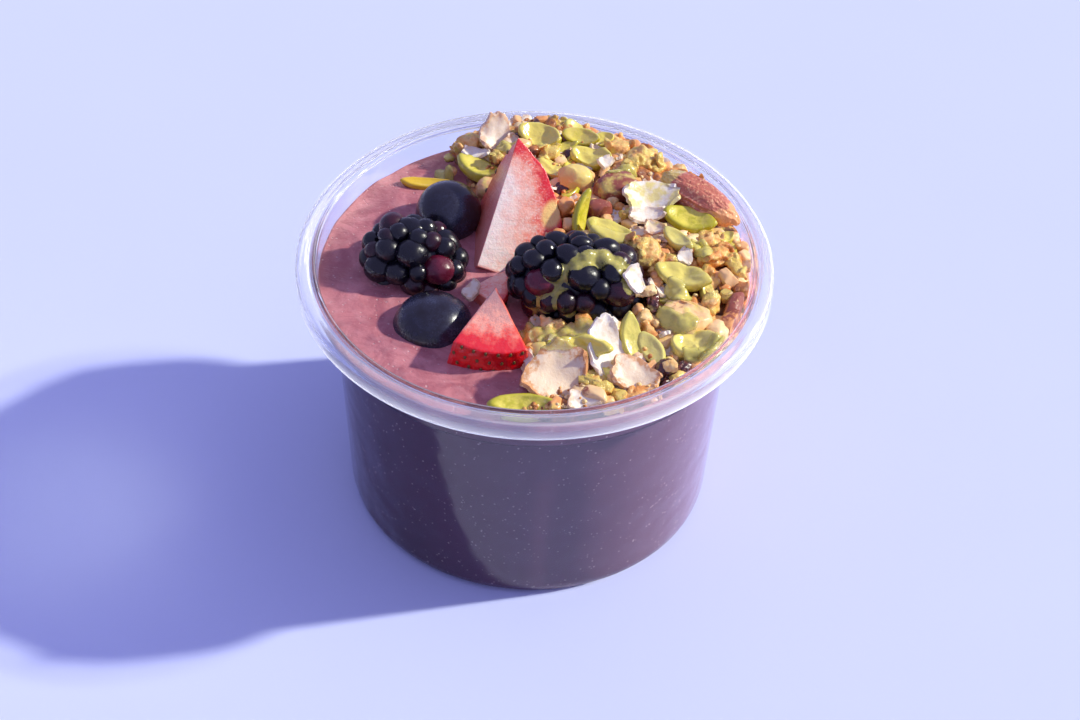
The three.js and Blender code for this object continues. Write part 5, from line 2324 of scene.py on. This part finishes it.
@dataclass
class Studio:
    """The pale floor, the low key light, the soft sky and the camera."""

    elevation: float = 43.5
    roll: float = 2.05
    distance: float = 0.5316
    target: Triple = (0.00179, 0, 0.03145)
    lens: float = 83.33
    sun_azimuth: float = 11.0
    sun_elevation: float = 33.0
    sun_strength: float = 4.3
    sun_spread: float = 2.5
    sun_colour: Colour = (1.0, 0.98, 0.84)
    sky: Colour = (0.513, 0.519, 1.0)
    sky_strength: float = 0.7

    def floor(self) -> Piece:
        """Lays the floor."""
        piece = Bench.add("studio_floor", bpy.ops.mesh.primitive_plane_add, size=6)
        return FloorPaint("studio_paint").on(piece)

    def lights(self) -> None:
        """Sets the key light and the sky."""
        turn = [math.radians(angle) for angle in (90 - self.sun_elevation, 0, 90 + self.sun_azimuth)]
        bpy.ops.object.light_add(type="SUN", rotation=turn)
        lamp = bpy.context.object.data
        lamp.energy, lamp.color = self.sun_strength, self.sun_colour
        lamp.angle = math.radians(self.sun_spread)
        world = bpy.data.worlds.new("studio_sky")
        world.use_nodes = True
        backdrop = world.node_tree.nodes["Background"]
        backdrop.inputs["Color"].default_value = (*self.sky, 1)
        backdrop.inputs["Strength"].default_value = self.sky_strength
        bpy.context.scene.world = world
        bpy.context.scene.view_settings.view_transform = "Standard"

    def camera(self) -> None:
        """Sets the camera."""
        tilt, roll = math.radians(self.elevation), math.radians(self.roll)
        back = Vector((0, -math.cos(tilt), math.sin(tilt)))
        up = Vector((0, math.sin(tilt), math.cos(tilt)))
        side = Vector((1, 0, 0))
        right = math.cos(roll) * side + math.sin(roll) * up
        above = -math.sin(roll) * side + math.cos(roll) * up
        bpy.ops.object.camera_add()
        camera = bpy.context.object
        frame = Matrix((right, above, back)).transposed().to_4x4()
        camera.matrix_world = Matrix.Translation(Vector(self.target) + self.distance * back) @ frame
        camera.data.lens = self.lens
        camera.data.clip_start = 0.01
        bpy.context.scene.camera = camera

    def build(self) -> Piece:
        """Sets the studio up.

        Returns:
            The floor.
        """
        floor = self.floor()
        self.lights()
        self.camera()
        return floor


# ------------------------------------------------------------------ assembly


def keep(pieces: Sequence[Piece], node: str) -> None:
    """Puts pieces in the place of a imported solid.

    Args:
        pieces: what is shown.
        node: the solid's name.
    """
    for piece in pieces:
        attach(piece, BODY)
        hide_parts(node)
        faces = sum(len(face.vertices) - 2 for face in piece.data.polygons)
        LOG.info("%s for %s: %d triangles", piece.name, node, faces)


def topping(
    piece: Piece, name: str, marks: tuple[float, float], place: Matrix, finish: Finish,
    degrees: float = CRISP,
) -> Piece:
    """Sets a small topping on what it lies on.

    Args:
        piece: the topping, in its own axes.
        name: its name.
        marks: its tone and how much nut butter is on it.
        place: its place and turn.
        finish: its finish.
        degrees: edges sharper than this stay sharp.

    Returns:
        The topping.
    """
    tone, glaze = marks
    Bench.mark(piece, tone=tone, glaze=glaze)
    piece.data.transform(place)
    piece.name = name
    return finish.on(piece, degrees)


def main() -> None:
    """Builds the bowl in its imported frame, then the studio."""
    logging.basicConfig(level=logging.INFO, format="%(message)s")
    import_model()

    tub = Tub()
    keep([tub.build()], "cup")
    filling = AcaiFilling(tub)
    puree = filling.build()
    shapes = BitShapes()
    mustard = SeedSkin(
        "mustard_seed_skin", edge=srgb(214, 172, 6), face=srgb(220, 182, 18), pale=srgb(230, 198, 60))
    lone = topping(shapes.seed(filling.seed_size, 3), "lone_pumpkin_seed", (0.2, 0.0),
                   placement(filling.seed_place, -2), mustard, 180)
    keep([puree, lone], "acai")

    blueberries = [
        Blueberry("blueberry_front", (-20.0, -16.2, 55.2), (8.2, 7.9, 6.7), 12, 0.75, 4),
        Blueberry("blueberry_back", (-18.5, 15.6, 58.2), (7.0, 7.2, 6.9), -20, 0.5, 9)]
    for berry in blueberries:
        keep([berry.build()], berry.name)

    fruit = []
    brambles = [
        Bramble("bramble_left", (-24.9, 0.4, 58.4), 23.4, 9.2, 3.15, -14, 6, LEFT_DRUPELETS),
        Bramble("bramble_right", (8.6, -9.0, 62.4), 29.4, 10.3, 3.3, -4, 4, RIGHT_DRUPELETS)]
    for berry in brambles:
        piece = berry.build()
        fruit.append(piece)
        keep([piece], berry.name)
    ground = surface_tree([piece])
    flake = topping(shapes.flake((5.6, 4.6, 0.8), 5), "bramble_flake", (0.1, 0.3),
                    placement((19.8, -13.7, 67.3), -38, 53), COCONUT)
    crumb = topping(shapes.cluster((4.4, 2.6, 2.2), 8), "bramble_crumb", (0.05, 0.0),
                    placement((22.3, -12.9, 63.4), 20), GRAIN)
    strands = [drizzle.build(ground, berry.around) for drizzle in BERRY_DRIZZLES]
    keep([*strands, flake, crumb], berry.name)
    chip = topping(shapes.flake((4.4, 3.0, 0.8), 3), "chunk_flake", (0.5, 0.0),
                   placement((-12.4, -9.6, 59.4), 50, -30), COCONUT)
    keep([chip], "strawberry_chunk")

    shaded = StrawberryFlesh(
        "strawberry_shaded_flesh", flesh=srgb(242, 168, 148), core=srgb(178, 132, 132))
    strawberries = [
        StrawberryPiece("strawberry_tall", (-11.8, -0.2, 57.6), (-4.3, 20.2, 75.6),
                        (4.6, 5.8, 58.8), 96, 20, 1.08, 2.6, 0.9, 1.0, (3.1, 10.2, 63.4)),
        StrawberryPiece("strawberry_small", (-8.3, -12.4, 56.8), (-7.5, -14.0, 64.6),
                        (-16.3, -29.9, 62.2), 54, 19.5, 1.1, 21.5, finish=shaded),
        StrawberryPiece("strawberry_chunk", (-13.0, -8.0, 58.6), (-5.0, -0.8, 58.0),
                        (-5.2, -8.8, 59.0), 84, 10.5, 1.3, 0, 1.0, 0.4)]
    for strawberry in strawberries:
        pieces = strawberry.build()
        fruit.append(pieces[0])
        keep(pieces, strawberry.name)

    almond = Almond().build()
    fruit.append(almond)
    keep([almond], "almond")
    keep(GranolaHeap(BITS, HEAP_DRIZZLES).build(fruit, puree), "granola_heap")

    Studio().build()


if __name__ == "__main__":
    main()
